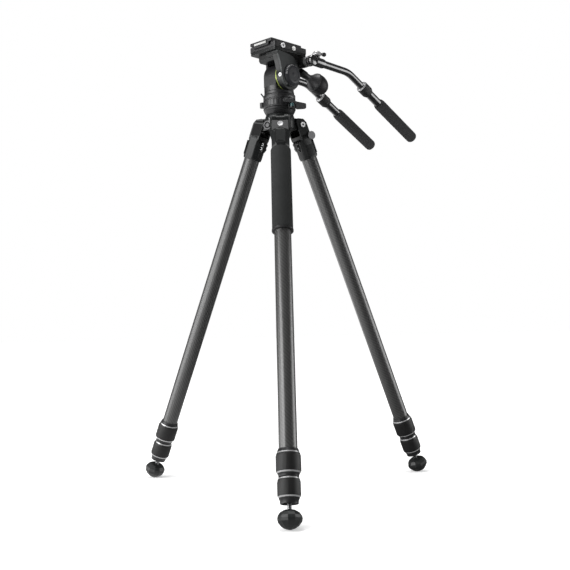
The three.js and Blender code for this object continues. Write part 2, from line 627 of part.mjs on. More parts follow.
function panBase() {
  const hole = HEAD_STUD_RADIUS + PIN_PLAY;
  const holeTop = PAN_BASE_Z + HEAD_STUD_LENGTH + 1;
  const body = turned([
    [0, holeTop], [hole, holeTop], [hole, PAN_BASE_Z], [PAN_BASE_RADIUS - 1.5, PAN_BASE_Z],
    [PAN_BASE_RADIUS, PAN_BASE_Z + 2], [PAN_BASE_RADIUS, PAN_NECK_Z], [PAN_NECK_RADIUS, PAN_NECK_Z],
    [PAN_NECK_RADIUS, PAN_NECK_Z + PAN_NECK_HEIGHT], [0, PAN_NECK_Z + PAN_NECK_HEIGHT],
  ], WIDE_SIDES);
  const lug = block([-BASE_LUG_REACH, -PAN_BASE_RADIUS + 3], [-BASE_LUG_HALF, BASE_LUG_HALF],
    [PAN_BASE_Z + BASE_LUG_BOTTOM, PAN_BASE_Z + BASE_LUG_TOP]);
  const shelfTop = PAN_BASE_Z - BUBBLE_DROP - SEAT;
  const shelfRadius = BUBBLE_RADIUS + BUBBLE_RIM;
  const wallStart = PAN_BASE_RADIUS + SEAT;
  const wallEnd = wallStart + BUBBLE_WALL;
  const shelf = joined(
    block([wallStart, wallEnd], [-shelfRadius, shelfRadius],
      [shelfTop - BUBBLE_SHELF, PAN_BASE_Z + BUBBLE_WALL_RISE]),
    block([PAN_BASE_RADIUS - 3, wallEnd], [-shelfRadius, shelfRadius],
      [PAN_BASE_Z, PAN_BASE_Z + BUBBLE_WALL_RISE]),
    block([wallStart, BUBBLE_OFFSET], [-shelfRadius, shelfRadius], [shelfTop - BUBBLE_SHELF, shelfTop]),
    rod(shelfRadius, shelfTop - BUBBLE_SHELF, shelfTop).translate([BUBBLE_OFFSET, 0, 0]),
  );
  const pinHole = alongX(rod(
    LOCK_PIN_RADIUS + PIN_PLAY, PAN_BASE_RADIUS - LOCK_PIN_LENGTH - 1, PAN_BASE_RADIUS + 2, PIN_SIDES,
  )).translate([0, 0, PAN_NECK_Z - LOCK_LEVER_DROP]);
  return cut(
    joined(body, lug, shelf.rotate([0, 0, BUBBLE_AZIMUTH])),
    pinHole.rotate([0, 0, LOCK_LEVER_AZIMUTH]),
  );
}

function bubbleLevel() {
  const bottom = PAN_BASE_Z - BUBBLE_DROP;
  return rod(BUBBLE_RADIUS, bottom, bottom + BUBBLE_HEIGHT)
    .translate([BUBBLE_OFFSET, 0, 0]).rotate([0, 0, BUBBLE_AZIMUTH]);
}

// ring round the neck of the pan base with a small raised tip
function dragRing() {
  const bottom = PAN_NECK_Z + SEAT;
  const top = PAN_NECK_Z + PAN_NECK_HEIGHT - SEAT;
  const bore = PAN_NECK_RADIUS + PIN_PLAY + 0.1;
  const ring = turned([
    [bore, top], [bore, bottom], [DRAG_RING_RADIUS, bottom], [DRAG_RING_RADIUS, top],
  ], WIDE_SIDES);
  const run = DRAG_TIP_REACH - PAN_NECK_RADIUS - 2;
  const tip = rod(DRAG_TIP_RADIUS, 0, Math.hypot(run, DRAG_TIP_RISE), PIN_SIDES)
    .rotate([0, THREE.MathUtils.radToDeg(Math.atan2(-run, DRAG_TIP_RISE)), 0])
    .translate([-PAN_NECK_RADIUS - 2, 0, top - 2]);
  return joined(ring, tip);
}

// lever on a pin that points away from the pan axis; drawn in the plane across that pin
function panLockLever() {
  const z = PAN_NECK_Z - LOCK_LEVER_DROP;
  const start = PAN_BASE_RADIUS + SEAT;
  const paddleRoot = LOCK_LEVER_NECK + LOCK_LEVER_STEP;
  const tipBottom = -LOCK_PADDLE_BOTTOM + LOCK_PADDLE_TAPER;
  const tipTop = -LOCK_PADDLE_TOP - LOCK_PADDLE_TAPER;
  const shape = new THREE.Shape();
  shape.absarc(0, 0, LOCK_LEVER_HUB, Math.PI / 2, Math.PI * 1.5, false);
  shape.lineTo(LOCK_LEVER_NECK, -LOCK_LEVER_HUB - LOCK_LEVER_NECK_DROP);
  shape.lineTo(paddleRoot, -LOCK_PADDLE_BOTTOM);
  shape.lineTo(LOCK_LEVER_REACH - LOCK_PADDLE_CORNER, tipBottom);
  shape.lineTo(LOCK_LEVER_REACH, tipBottom + LOCK_PADDLE_CORNER);
  shape.lineTo(LOCK_LEVER_REACH, tipTop - LOCK_PADDLE_CORNER);
  shape.lineTo(LOCK_LEVER_REACH - LOCK_PADDLE_CORNER, tipTop);
  shape.lineTo(paddleRoot, -LOCK_PADDLE_TOP);
  shape.lineTo(0, LOCK_LEVER_HUB);
  const paddle = sidePlate(shape, start, start + LOCK_LEVER_THICKNESS);
  const pin = alongX(rod(LOCK_PIN_RADIUS, PAN_BASE_RADIUS - LOCK_PIN_LENGTH, start + 1, PIN_SIDES));
  return joined(paddle, pin).translate([0, 0, z]).rotate([0, 0, LOCK_LEVER_AZIMUTH]);
}

function buildTop() {
  const top = new THREE.Group();
  add(top, 'spider', spider(), CASTING);
  add(top, 'hook_knob', hookKnob(), ANODISED);
  add(top, 'mounting_plate', mountingPlate(), ANODISED);
  add(top, 'pan_base', panBase(), ANODISED);
  add(top, 'bubble_level', bubbleLevel(), VIAL);
  add(top, 'pan_drag_ring', dragRing(), ANODISED);
  add(top, 'pan_lock_lever', panLockLever(), CASTING);
  return top;
}

// ---------------------------------------------------------------- head, tilt axis through the origin

function panBody() {
  const bottom = -TILT_HEIGHT;
  const top = bottom + PAN_BODY_HEIGHT;
  const bulk = joined(
    rod(PAN_BODY_RADIUS, bottom, top, WIDE_SIDES),
    alongX(rod(BARREL_RADIUS, BARREL_LEFT, BARREL_RIGHT, WIDE_SIDES)),
    block([BARREL_LEFT, BARREL_RIGHT], [-BARREL_RADIUS, BARREL_RADIUS], [top - 1, 0]),
  );
  const beside = [BARREL_RIGHT + SEAT, PAN_BODY_RADIUS + 2];
  return cut(
    bulk,
    alongX(rod(SHAFT_RADIUS + PIN_PLAY, BARREL_LEFT - 1, BARREL_RIGHT + 1)),
    alongX(rod(CHEEK_RADIUS + 0.5, beside[0], beside[1], WIDE_SIDES)),
    block(beside, [-PAN_BODY_RADIUS - 1, 8], [-CHEEK_RADIUS - 0.5, top + 1]),
  );
}

const cheekLeft = BARREL_RIGHT + 2 * SEAT + ACCENT_WIDTH;
const cheekMiddle = cheekLeft + CHEEK_THICKNESS;
const cheekRight = cheekMiddle + CHEEK_OUTER;

function tiltShaft() {
  return alongX(rod(SHAFT_RADIUS, SADDLE_LEFT, cheekRight));
}

function accentRing() {
  const start = BARREL_RIGHT + SEAT;
  const bore = CHEEK_RADIUS - 4.5;
  return alongX(turned([
    [bore, start + ACCENT_WIDTH], [bore, start], [ACCENT_RADIUS, start],
    [ACCENT_RADIUS, start + ACCENT_WIDTH],
  ], WIDE_SIDES));
}

// the knob's own frame: its stem starts at the origin and points along +Z
function inKnobFrame(shape) {
  return shape.rotate([-90 - KNOB_DROOP, 0, 0]).translate([KNOB_X, KNOB_START, KNOB_RISE]);
}

// wide cheek: a flared neck above, and half an ellipse below the tilt axis
function cheekOutline(drop, back) {
  const shape = new THREE.Shape();
  shape.moveTo(-NECK_FRONT, SADDLE_TOP);
  shape.lineTo(-NECK_FRONT, NECK_FLARE_TOP);
  shape.lineTo(-NECK_MIDDLE_FRONT, NECK_MIDDLE_RISE);
  shape.lineTo(-CHEEK_RADIUS, CHEEK_RADIUS / 3);
  shape.absellipse(0, 0, CHEEK_RADIUS, drop, Math.PI, 1.5 * Math.PI, false);
  shape.absellipse(0, 0, back, drop, 1.5 * Math.PI, 2 * Math.PI, false);
  shape.lineTo(back, CHEEK_RADIUS / 3);
  shape.lineTo(NECK_BACK, SADDLE_TOP);
  return shape;
}

// saddle under the clamp, a wide and a narrow cheek on the tilt shaft, the rear crossbar with the
// rosettes of both handles, and the arm that carries the tilt knob
function tiltPlatform() {
  const narrow = new THREE.Shape();
  narrow.moveTo(-SMALL_CHEEK_RADIUS, SADDLE_RISE + 1);
  narrow.absarc(0, 0, SMALL_CHEEK_RADIUS, Math.PI, 2 * Math.PI, false);
  narrow.lineTo(SMALL_CHEEK_RADIUS, SADDLE_RISE + 1);
  const saddle = polygon([
    [SADDLE_FRONT, SADDLE_RISE + SADDLE_CHAMFER], [SADDLE_FRONT + SADDLE_CHAMFER, SADDLE_RISE],
    [SADDLE_BACK, SADDLE_RISE], [SADDLE_BACK, SADDLE_TOP], [SADDLE_FRONT, SADDLE_TOP],
  ]);
  const bulk = joined(
    sidePlate(saddle, SADDLE_LEFT, cheekRight),
    sidePlate(cheekOutline(CHEEK_RADIUS, CHEEK_RADIUS), cheekLeft, cheekMiddle, CHEEK_STEPS / 2),
    sidePlate(cheekOutline(CHEEK_OUTER_RADIUS, CHEEK_OUTER_RADIUS), cheekMiddle - 1, cheekRight,
      CHEEK_STEPS / 2),
    sidePlate(narrow, SADDLE_LEFT, SADDLE_LEFT + SMALL_CHEEK_THICKNESS),
    alongX(rod(CROSSBAR_RADIUS, -ROSETTE_SPLIT, ROSETTE_SPLIT))
      .translate([0, HANDLE_Y, HANDLE_RISE]),
    block([cheekLeft, cheekMiddle], [CHEEK_RADIUS - ARM_ROOT, KNOB_START - ARM_LENGTH / 2],
      [KNOB_RISE - ARM_RADIUS + 2, KNOB_RISE + ARM_RADIUS + 2]),
    inKnobFrame(rod(ARM_RADIUS, -ARM_LENGTH, 0)),
  );
  return cut(bulk, alongX(rod(SHAFT_RADIUS + PIN_PLAY, SADDLE_LEFT - 1, cheekRight + 1)));
}

function dragDial() {
  const start = cheekRight + SEAT;
  return alongX(turned([
    [0, start], [DIAL_RADIUS, start], [DIAL_RADIUS, start + DIAL_EDGE],
    [DIAL_FACE_RADIUS, start + DIAL_WIDTH], [0, start + DIAL_WIDTH],
  ], WIDE_SIDES));
}

// large smooth knob: a narrow stem that flares to a long round cap
function tiltKnob() {
  const stem = KNOB_STEM_RADIUS;
  const rim = KNOB_NECK + KNOB_FLARE;
  const outline = [[0, SEAT], [stem, SEAT], [stem, KNOB_NECK],
    [stem + KNOB_FLARE_WAIST, KNOB_NECK + KNOB_FLARE / 2], [KNOB_RADIUS - 2, rim],
    [KNOB_RADIUS, rim + KNOB_RIM]];
  const capStart = KNOB_LENGTH - KNOB_DOME;
  const steps = 5;
  for (let i = 0; i <= steps; i++) {
    const angle = (Math.PI / 2) * (i / steps);
    const radius = i === steps ? 0 : KNOB_RADIUS * Math.cos(angle);
    outline.push([radius, capStart + KNOB_DOME * Math.sin(angle)]);
  }
  return inKnobFrame(turned(outline));
}

// where the clamp's side knob and the release button sit
const sideHoleZ = CLAMP_BOTTOM + SIDE_HOLE_RISE;

function sideHole(radius, depth, y) {
  return alongX(rod(radius + PIN_PLAY, CLAMP_HALF - depth, CLAMP_HALF + 1))
    .translate([0, y, sideHoleZ]);
}

function clampBody() {
  const body = block([-CLAMP_HALF, CLAMP_HALF], [CLAMP_FRONT, CLAMP_BACK], [CLAMP_BOTTOM, CLAMP_TOP]);
  const channel = block([-CHANNEL_HALF, CHANNEL_HALF], [CLAMP_FRONT - 1, CLAMP_BACK + 1],
    [CLAMP_TOP - CHANNEL_DEPTH, CLAMP_TOP + 1]);
  return cut(body, channel,
    sideHole(SIDE_PIN_RADIUS, SIDE_PIN_LENGTH + SEAT, CLAMP_KNOB_Y),
    sideHole(BUTTON_RADIUS, BUTTON_DEPTH + BUTTON_TRAVEL + SEAT, BUTTON_Y));
}

function clampKnob() {
  const face = CLAMP_HALF + SEAT;
  return alongX(turned([
    [0, CLAMP_HALF - SIDE_PIN_LENGTH], [SIDE_PIN_RADIUS, CLAMP_HALF - SIDE_PIN_LENGTH],
    [SIDE_PIN_RADIUS, face], [CLAMP_KNOB_RADIUS, face],
    [CLAMP_KNOB_RADIUS, face + SIDE_KNOB_LENGTH], [0, face + SIDE_KNOB_LENGTH],
  ])).translate([0, CLAMP_KNOB_Y, sideHoleZ]);
}

function releaseButton() {
  return alongX(rod(BUTTON_RADIUS, CLAMP_HALF - BUTTON_DEPTH, CLAMP_HALF + BUTTON_PROUD))
    .translate([0, BUTTON_Y, sideHoleZ]);
}

const screwY = (PLATE_FRONT + PLATE_BACK) / 2;

function cameraPlate() {
  const tongueHalf = CHANNEL_HALF - SEAT;
  const channelFloor = CLAMP_TOP - CHANNEL_DEPTH;
  const plate = block(
    [-PLATE_HALF, PLATE_HALF], [PLATE_FRONT, PLATE_BACK], [CLAMP_TOP + SEAT, PLATE_TOP]);
  const rail = block([-tongueHalf, tongueHalf], [PLATE_FRONT, PLATE_BACK],
    [channelFloor + SEAT, CLAMP_TOP + 1]);
  const shank = rod(CAMERA_SCREW_RADIUS + PIN_PLAY, channelFloor, PLATE_TOP + 1);
  const sink = rod(CAMERA_SCREW_HEAD + PIN_PLAY, channelFloor - 1, CLAMP_TOP - SEAT);
  return cut(joined(plate, rail), shank.translate([0, screwY, 0]), sink.translate([0, screwY, 0]));
}

function platePad() {
  const half = PLATE_HALF - PAD_INSET;
  const pad = block([-half, half], [PLATE_FRONT + PAD_INSET, PLATE_BACK - PAD_INSET],
    [PLATE_TOP + SEAT, PAD_TOP]);
  const hole = rod(CAMERA_SCREW_RADIUS + 1, PLATE_TOP, PAD_TOP + 1);
  return cut(pad, hole.translate([0, screwY, 0]));
}

function cameraScrew() {
  const bottom = CLAMP_TOP - CHANNEL_DEPTH + 4 * SEAT;
  const head = CLAMP_TOP - 2 * SEAT;
  const top = PAD_TOP + CAMERA_SCREW_RISE;
  return turned([
    [0, bottom], [CAMERA_SCREW_HEAD, bottom], [CAMERA_SCREW_HEAD, head],
    [CAMERA_SCREW_RADIUS, head], [CAMERA_SCREW_RADIUS, top], [0, top],
  ], PIN_SIDES).translate([0, screwY, 0]);
}

// ---------------------------------------------------------------- handle, rosette axis along x

// centre line of the bar: straight, a bend in the YZ plane, straight again; the steps fall on the
// ends of the bend
class BarLine extends THREE.Curve {
  constructor() {
    super();
    this.arcSteps = 6;
    this.steps = this.arcSteps + 2;
    this.tangentLength = BEND_RADIUS * Math.tan(rad(BEND_ANGLE / 2));
  }

  getPoint(t) {
    const u = t * this.steps;
    const bendStart = BAR_STRAIGHT - this.tangentLength;
    if (u < 1) return new THREE.Vector3(0, bendStart * u, 0);
    const angle = rad(BEND_ANGLE) * Math.min((u - 1) / this.arcSteps, 1);
    const point = new THREE.Vector3(
      0, bendStart + BEND_RADIUS * Math.sin(angle), -BEND_RADIUS * (1 - Math.cos(angle)));
    const beyond = Math.max(u - 1 - this.arcSteps, 0) * (BAR_TAIL - this.tangentLength);
    return point.add(new THREE.Vector3(0, Math.cos(angle), -Math.sin(angle)).multiplyScalar(beyond));
  }

  getPointAt(u) {
    return this.getPoint(u);
  }

  getTangentAt(u) {
    return this.getTangent(u);
  }
}

function handleBar(sign) {
  const line = new BarLine();
  const section = new THREE.Shape().absarc(0, 0, BAR_RADIUS, 0, 2 * Math.PI, false);
  const tube = new THREE.ExtrudeGeometry(section, {
    steps: line.steps, extrudePath: line, curveSegments: PIN_SIDES / 2, bevelEnabled: false,
  });
  const inner = ROSETTE_SPLIT + SEAT - HANDLE_X;
  const rosette = alongX(rod(ROSETTE_RADIUS, inner, ROSETTE_OUTER));
  const sleeve = alongY(rod(SLEEVE_RADIUS, SLEEVE_START, SLEEVE_END));
  const boss = rod(LEVER_BOSS_RADIUS, 0, LEVER_BOSS_TOP).translate([0, LEVER_Y, 0]);
  const hole = rod(LEVER_PIN_RADIUS + PIN_PLAY, LEVER_BOSS_TOP - LEVER_PIN_LENGTH - 1,
    LEVER_BOSS_TOP + 1, PIN_SIDES).translate([0, LEVER_Y, 0]);
  const bar = cut(joined(rosette, solid(tube), sleeve, boss), hole);
  return sign > 0 ? bar : bar.mirror([1, 0, 0]);
}

// clamping lever on its boss, pointing back along the bar
function handleLever() {
  const bottom = LEVER_BOSS_TOP + SEAT;
  const hub = turned([
    [0, LEVER_BOSS_TOP - LEVER_PIN_LENGTH], [LEVER_PIN_RADIUS, LEVER_BOSS_TOP - LEVER_PIN_LENGTH],
    [LEVER_PIN_RADIUS, bottom], [LEVER_HUB_RADIUS, bottom],
    [LEVER_HUB_RADIUS, bottom + LEVER_HUB_HEIGHT - 3], [LEVER_HUB_RADIUS - 3, bottom + LEVER_HUB_HEIGHT],
    [0, bottom + LEVER_HUB_HEIGHT],
  ]);
  const middle = bottom + LEVER_HUB_HEIGHT - 4;
  const arm = alongY(rod(LEVER_ARM_RADIUS, 0, LEVER_REACH, PIN_SIDES)).translate([0, 0, middle]);
  const tip = solid(new THREE.SphereGeometry(LEVER_TIP_RADIUS, 10, 6));
  return joined(hub, arm, tip.translate([0, LEVER_REACH, middle])).translate([0, LEVER_Y, 0]);
}

function handleCollar() {
  const end = COLLAR_START + COLLAR_LENGTH;
  const bore = BAR_RADIUS + TUBE_PLAY;
  const mouth = OUTER_TUBE_RADIUS + TUBE_PLAY;
  return turned([
    [bore, OUTER_TUBE_START - SEAT], [bore, COLLAR_START], [BAR_RADIUS + 2.5, COLLAR_START],
    [COLLAR_RADIUS, COLLAR_START + 4], [COLLAR_RADIUS, end - 4], [COLLAR_RADIUS - 2, end],
    [mouth, end], [mouth, OUTER_TUBE_START - SEAT],
  ]);
}

function outerTube() {
  const bore = BAR_RADIUS + TUBE_PLAY;
  return turned([
    [bore, OUTER_TUBE_END], [bore, OUTER_TUBE_START], [OUTER_TUBE_RADIUS, OUTER_TUBE_START],
    [OUTER_TUBE_RADIUS, OUTER_TUBE_END],
  ]);
}

// foam grip, closed by a rounded end
function handleGrip() {
  const bore = OUTER_TUBE_RADIUS + SEAT;
  const end = HANDLE_GRIP_END;
  const round = HANDLE_GRIP_ROUND;
  const corner = round * (1 - Math.SQRT1_2);
  return turned([
    [0, OUTER_TUBE_END + SEAT], [bore, OUTER_TUBE_END + SEAT], [bore, HANDLE_GRIP_START],
    [HANDLE_GRIP_RADIUS - 2, HANDLE_GRIP_START],
    [HANDLE_GRIP_RADIUS - 0.5, HANDLE_GRIP_START + HANDLE_GRIP_TAPER],
    [HANDLE_GRIP_RADIUS, end - round], [HANDLE_GRIP_RADIUS - corner, end - corner],
    [HANDLE_GRIP_RADIUS - round, end], [0, end],
  ]);
}

function buildHandle(side, sign) {
  const handle = new THREE.Group();
  handle.position.set(sign * HANDLE_X, HANDLE_Y, HANDLE_RISE);
  handle.rotation.x = -rad(HANDLE_DROOP);
  add(handle, `handle_${side}_bar`, handleBar(sign), ANODISED);
  add(handle, `handle_${side}_lever`, handleLever(), ALLOY);
  const tail = new THREE.Group(); // +Z runs along the second straight, from the bend's corner
  tail.position.set(0, BAR_STRAIGHT, 0);
  tail.rotation.x = -rad(90 + BEND_ANGLE);
  handle.add(tail);
  add(tail, `handle_${side}_collar`, handleCollar(), RUBBER);
  add(tail, `handle_${side}_outer_tube`, outerTube(), ANODISED);
  add(tail, `handle_${side}_grip`, handleGrip(), FOAM);
  return handle;
}

function buildHead() {
  const head = new THREE.Group();
  head.position.z = TILT_Z;
  head.rotation.z = rad(HEAD_PAN);
  add(head, 'pan_body', panBody(), ANODISED);
  add(head, 'tilt_shaft', tiltShaft(), STEEL);
  add(head, 'accent_ring', accentRing(), ACCENT);
  add(head, 'tilt_platform', tiltPlatform(), CASTING);
  add(head, 'drag_dial', dragDial(), ANODISED);
  add(head, 'tilt_knob', tiltKnob(), RUBBER);
  add(head, 'clamp_body', clampBody(), CASTING);
  add(head, 'clamp_knob', clampKnob(), STEEL);
  add(head, 'release_button', releaseButton(), WHITE_PLASTIC);
  add(head, 'camera_plate', cameraPlate(), CASTING);
  add(head, 'plate_pad', platePad(), RUBBER);
  add(head, 'camera_screw', cameraScrew(), STEEL);
  head.add(buildHandle('right', 1), buildHandle('left', -1));
  return head;
}

const tripod = new THREE.Group();
tripod.add(...Object.keys(LEG_AZIMUTHS).map(buildLeg), buildTop(), buildHead());

export default tripod;
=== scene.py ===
# A video tripod: three telescopic carbon legs on a spider, and a fluid head with a sliding camera
# plate and two telescopic pan handles. It stands on a plain white floor in soft studio light.
# The frame is in metres. Inside its own frame each piece is drawn in millimetres.

import json
import math

import bmesh
import bpy
from mathutils import Matrix, Vector


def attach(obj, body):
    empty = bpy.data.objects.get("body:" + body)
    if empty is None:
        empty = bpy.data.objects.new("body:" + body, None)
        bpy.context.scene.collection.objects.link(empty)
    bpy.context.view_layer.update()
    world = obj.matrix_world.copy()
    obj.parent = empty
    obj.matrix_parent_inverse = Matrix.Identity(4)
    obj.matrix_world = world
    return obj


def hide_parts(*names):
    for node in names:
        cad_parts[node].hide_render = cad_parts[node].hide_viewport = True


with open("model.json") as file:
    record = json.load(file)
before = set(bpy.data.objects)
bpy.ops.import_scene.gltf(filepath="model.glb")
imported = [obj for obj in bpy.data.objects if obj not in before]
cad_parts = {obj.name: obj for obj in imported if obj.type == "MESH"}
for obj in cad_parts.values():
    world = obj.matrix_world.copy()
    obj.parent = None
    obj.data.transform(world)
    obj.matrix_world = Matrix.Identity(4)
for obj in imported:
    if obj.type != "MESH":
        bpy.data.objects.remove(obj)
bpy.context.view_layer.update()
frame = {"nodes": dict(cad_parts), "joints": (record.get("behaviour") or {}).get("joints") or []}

# ---------------------------------------------------------------- camera
# The lens stands in front of the front leg, a third of the way up the tripod, and looks slightly
# upward.

camera = bpy.data.objects.new("camera", bpy.data.cameras.new("camera"))
bpy.context.scene.collection.objects.link(camera)
bpy.context.scene.camera = camera
camera.data.lens = 55.02
camera.data.sensor_width = 36
CAMERA_AT = (-0.0142, -1.7667, 0.349)
CAMERA_YAW = math.radians(0.575)
CAMERA_PITCH = math.radians(2.024)
CAMERA_ROLL = math.radians(-1.2)
camera.matrix_world = (
    Matrix.Translation(CAMERA_AT)
    @ Matrix.Rotation(-CAMERA_YAW, 4, "Z")
    @ Matrix.Rotation(math.pi / 2 + CAMERA_PITCH, 4, "X")
    @ Matrix.Rotation(CAMERA_ROLL, 4, "Z")
)

# ---------------------------------------------------------------- studio
# A white floor in a white room, with soft boxes on the left, on the right and above. The lens sees
# plain white. Polished surfaces see dim walls and a floor that is bright on its left side only.

bpy.context.scene.view_settings.view_transform = "Standard"
WHITE = (1, 1, 1, 1)
WALLS_MIRRORED = 0.11
WALLS_AS_FILL = 0.18  # as they light matt surfaces
FLOOR_PAINT = 0.9
FLOOR_LEFT = 1.5  # as mirrored, at the far left of the object
FLOOR_RIGHT = 0.1


def wire(tree, node, inputs):
    """Sets a node's inputs to numbers, colours or the outputs of other nodes."""
    for name, value in inputs.items():
        if isinstance(value, bpy.types.NodeSocket):
            tree.links.new(value, node.inputs[name])
        else:
            node.inputs[name].default_value = value


def new_node(tree, kind, inputs, **settings):
    """Adds a node and gives back its outputs."""
    node = tree.nodes.new("ShaderNode" + kind)
    for name, value in settings.items():
        setattr(node, name, value)
    wire(tree, node, inputs)
    return node.outputs


def maths(tree, operation, *values):
    return new_node(tree, "Math", dict(enumerate(values)), operation=operation)[0]


def ramp(tree, value, start, end, low=0.0, high=1.0):
    """Runs from start to end while a value runs from low to high."""
    limits = {"From Min": low, "From Max": high, "To Min": start, "To Max": end}
    return new_node(tree, "MapRange", {"Value": value, **limits})["Result"]


def new_material(name):
    material = bpy.data.materials.new(name)
    material.use_nodes = True
    return material, material.node_tree


room = bpy.data.worlds.new("room")
bpy.context.scene.world = room
room.use_nodes = True
tree = room.node_tree
tree.nodes.clear()
ray = new_node(tree, "LightPath", {})
fill = ramp(tree, ray["Is Diffuse Ray"], WALLS_MIRRORED, WALLS_AS_FILL)
level = maths(tree, "MAXIMUM", ray["Is Camera Ray"], fill)
walls = new_node(tree, "Background", {"Color": WHITE, "Strength": level})
new_node(tree, "OutputWorld", {"Surface": walls[0]})

floor_paint, tree = new_material("floor_paint")
ray = new_node(tree, "LightPath", {})
place = new_node(tree, "TexCoord", {})["Object"]
distance = new_node(tree, "VectorMath", {0: place}, operation="LENGTH")["Value"]
fade = ramp(tree, distance, 0.42, 0.95, low=0.4, high=2.2)
glow = maths(tree, "MULTIPLY", ray["Is Camera Ray"], fade)
x = new_node(tree, "SeparateXYZ", {0: place})["X"]
mirrored = ramp(tree, x, FLOOR_LEFT, FLOOR_RIGHT, low=-0.6, high=0.15)
wire(tree, tree.nodes["Principled BSDF"], {
    "Roughness": 0.9,
    "Specular IOR Level": 0.1,
    "Base Color": ramp(tree, ray["Is Glossy Ray"], FLOOR_PAINT, 0),
    "Emission Color": WHITE,
    "Emission Strength": maths(tree, "MULTIPLY_ADD", ray["Is Glossy Ray"], mirrored, glow),
})

sheet = bmesh.new()
bmesh.ops.create_grid(sheet, x_segments=1, y_segments=1, size=12)
floor = bpy.data.objects.new("floor", bpy.data.meshes.new("floor"))
sheet.to_mesh(floor.data)
sheet.free()
floor.data.materials.append(floor_paint)
bpy.context.scene.collection.objects.link(floor)

# name, place, width, height, power
SOFT_BOXES = (
    ("left_box", (-2.15, -0.8, 0.45), 3.0, 1.5, 56),
    ("left_high_box", (-1.9, -1.3, 1.6), 1.6, 0.8, 31),
    ("right_box", (1.95, 0.1, 0.5), 1.2, 1.4, 22),
    ("top_box", (-0.3, -0.15, 2.7), 1.2, 1.2, 44),
)
AIM = Vector((0, 0, 0.5))
for name, at, width, height, power in SOFT_BOXES:
    lamp = bpy.data.objects.new(name, bpy.data.lights.new(name, "AREA"))
    lamp.data.shape = "RECTANGLE"
    lamp.data.size = width
    lamp.data.size_y = height
    lamp.data.energy = power
    lamp.location = at
    lamp.rotation_euler = (AIM - Vector(at)).to_track_quat("-Z", "Y").to_euler()
    bpy.context.scene.collection.objects.link(lamp)

# ---------------------------------------------------------------- leg tubes
# Each leg is three carbon fibre tubes, one inside the other. The cloth is a fine twill under a
# satin lacquer. With the legs pushed in, only the upper tube shows.

MM = 0.001
SIDES = ("front", "right", "left")
TUBE_WALL = 1.5
TOWS_ROUND = 56  # tows of carbon round a tube
SHARP_ANGLE = math.radians(32)


def joint(name):
    return next(j for j in frame["joints"] if j["name"] == name)


def stand(origin, x, z):
    """A frame in millimetres at a point of the row's frame, with its x and z axes along these."""
    x = Vector(x).normalized()
    z = Vector(z).normalized()
    axes = Matrix((x, z.cross(x), z)).transposed().to_4x4()
    return Matrix.Translation(origin) @ axes @ Matrix.Scale(MM, 4)


# a leg's frame: the hinge is its origin, z runs down the leg and y away from the pan axis
legs = {}
for side in SIDES:
    down = Vector(joint(f"{side}_middle_slide")["axis"])
    outward = Vector(joint(f"{side}_tab_pull")["axis"])
    legs[side] = stand(joint(f"{side}_leg_spread")["pos_m"], outward.cross(down), down)


def span(node, place):
    """The lowest and highest corner of a CAD node in a frame."""
    to_local = place.inverted()
    points = [to_local @ vertex.co for vertex in frame["nodes"][node].data.vertices]
    return [Vector(map(pick, zip(*points))) for pick in (min, max)]


def turned(bm, outline, steps=72):
    """Spins an outline of (radius, z) points round the z axis. One off the axis is closed first."""
    verts = [bm.verts.new((radius, 0, z)) for radius, z in outline]
    edges = [bm.edges.new(pair) for pair in zip(verts, verts[1:])]
    if outline[0][0] > 0:
        edges.append(bm.edges.new((verts[-1], verts[0])))
    bmesh.ops.spin(bm, geom=verts + edges, cent=(0, 0, 0), axis=(0, 0, 1), steps=steps,
        angle=2 * math.pi, use_merge=True)
    bmesh.ops.remove_doubles(bm, verts=bm.verts, dist=1e-4)


def wrap(bm, around):
    """Lays a UV map round the z axis, in squares of which this many go round."""
    layer = bm.loops.layers.uv.new("wrap")
    for face in bm.faces:
        centre = face.calc_center_median()
        middle = math.atan2(centre.y, centre.x)
        for loop in face.loops:
            at = loop.vert.co
            radius = max(math.hypot(at.x, at.y), 1)
            turn = math.atan2(at.y, at.x) - middle
            turn = (turn + math.pi) % (2 * math.pi) - math.pi
            square = 2 * math.pi * radius / around
            loop[layer].uv = ((middle + turn) / (2 * math.pi) * around, at.z / square)


def add_part(bm, part, matrix):
    """Moves a part into place and adds it to a shape."""
    bmesh.ops.transform(part, matrix=matrix, verts=part.verts)
    mesh = bpy.data.meshes.new("part")
    part.to_mesh(mesh)
    part.free()
    bm.from_mesh(mesh)
    bpy.data.meshes.remove(mesh)


def piece(name, bm, place, body, material, slot, nodes=(), edge=0.0):
    """Puts a shape in place as a piece of a body, with its sharp edges broken by this much."""
    bmesh.ops.recalc_face_normals(bm, faces=bm.faces)
    bmesh.ops.transform(bm, matrix=place, verts=bm.verts)
    mesh = bpy.data.meshes.new(name)
    bm.to_mesh(mesh)
    bm.free()
    mesh.shade_smooth()
    mesh.set_sharp_from_angle(angle=SHARP_ANGLE)
    mesh.materials.append(material)
    obj = bpy.data.objects.new(name, mesh)
    bpy.context.scene.collection.objects.link(obj)
    if edge:
        bevel = obj.modifiers.new("broken edges", "BEVEL")
        bevel.width = edge * MM
        bevel.segments = 2
        bevel.limit_method = "ANGLE"
        bevel.angle_limit = SHARP_ANGLE
        bevel.harden_normals = True
    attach(obj, body)
    if nodes:
        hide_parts(*nodes)
    return obj


def turned_piece(name, outline, steps, *rest, **options):
    """A piece that is one turned shape. The rest is as piece() takes it, from the place on."""
    bm = bmesh.new()
    turned(bm, outline, steps)
    return piece(name, bm, *rest, **options)


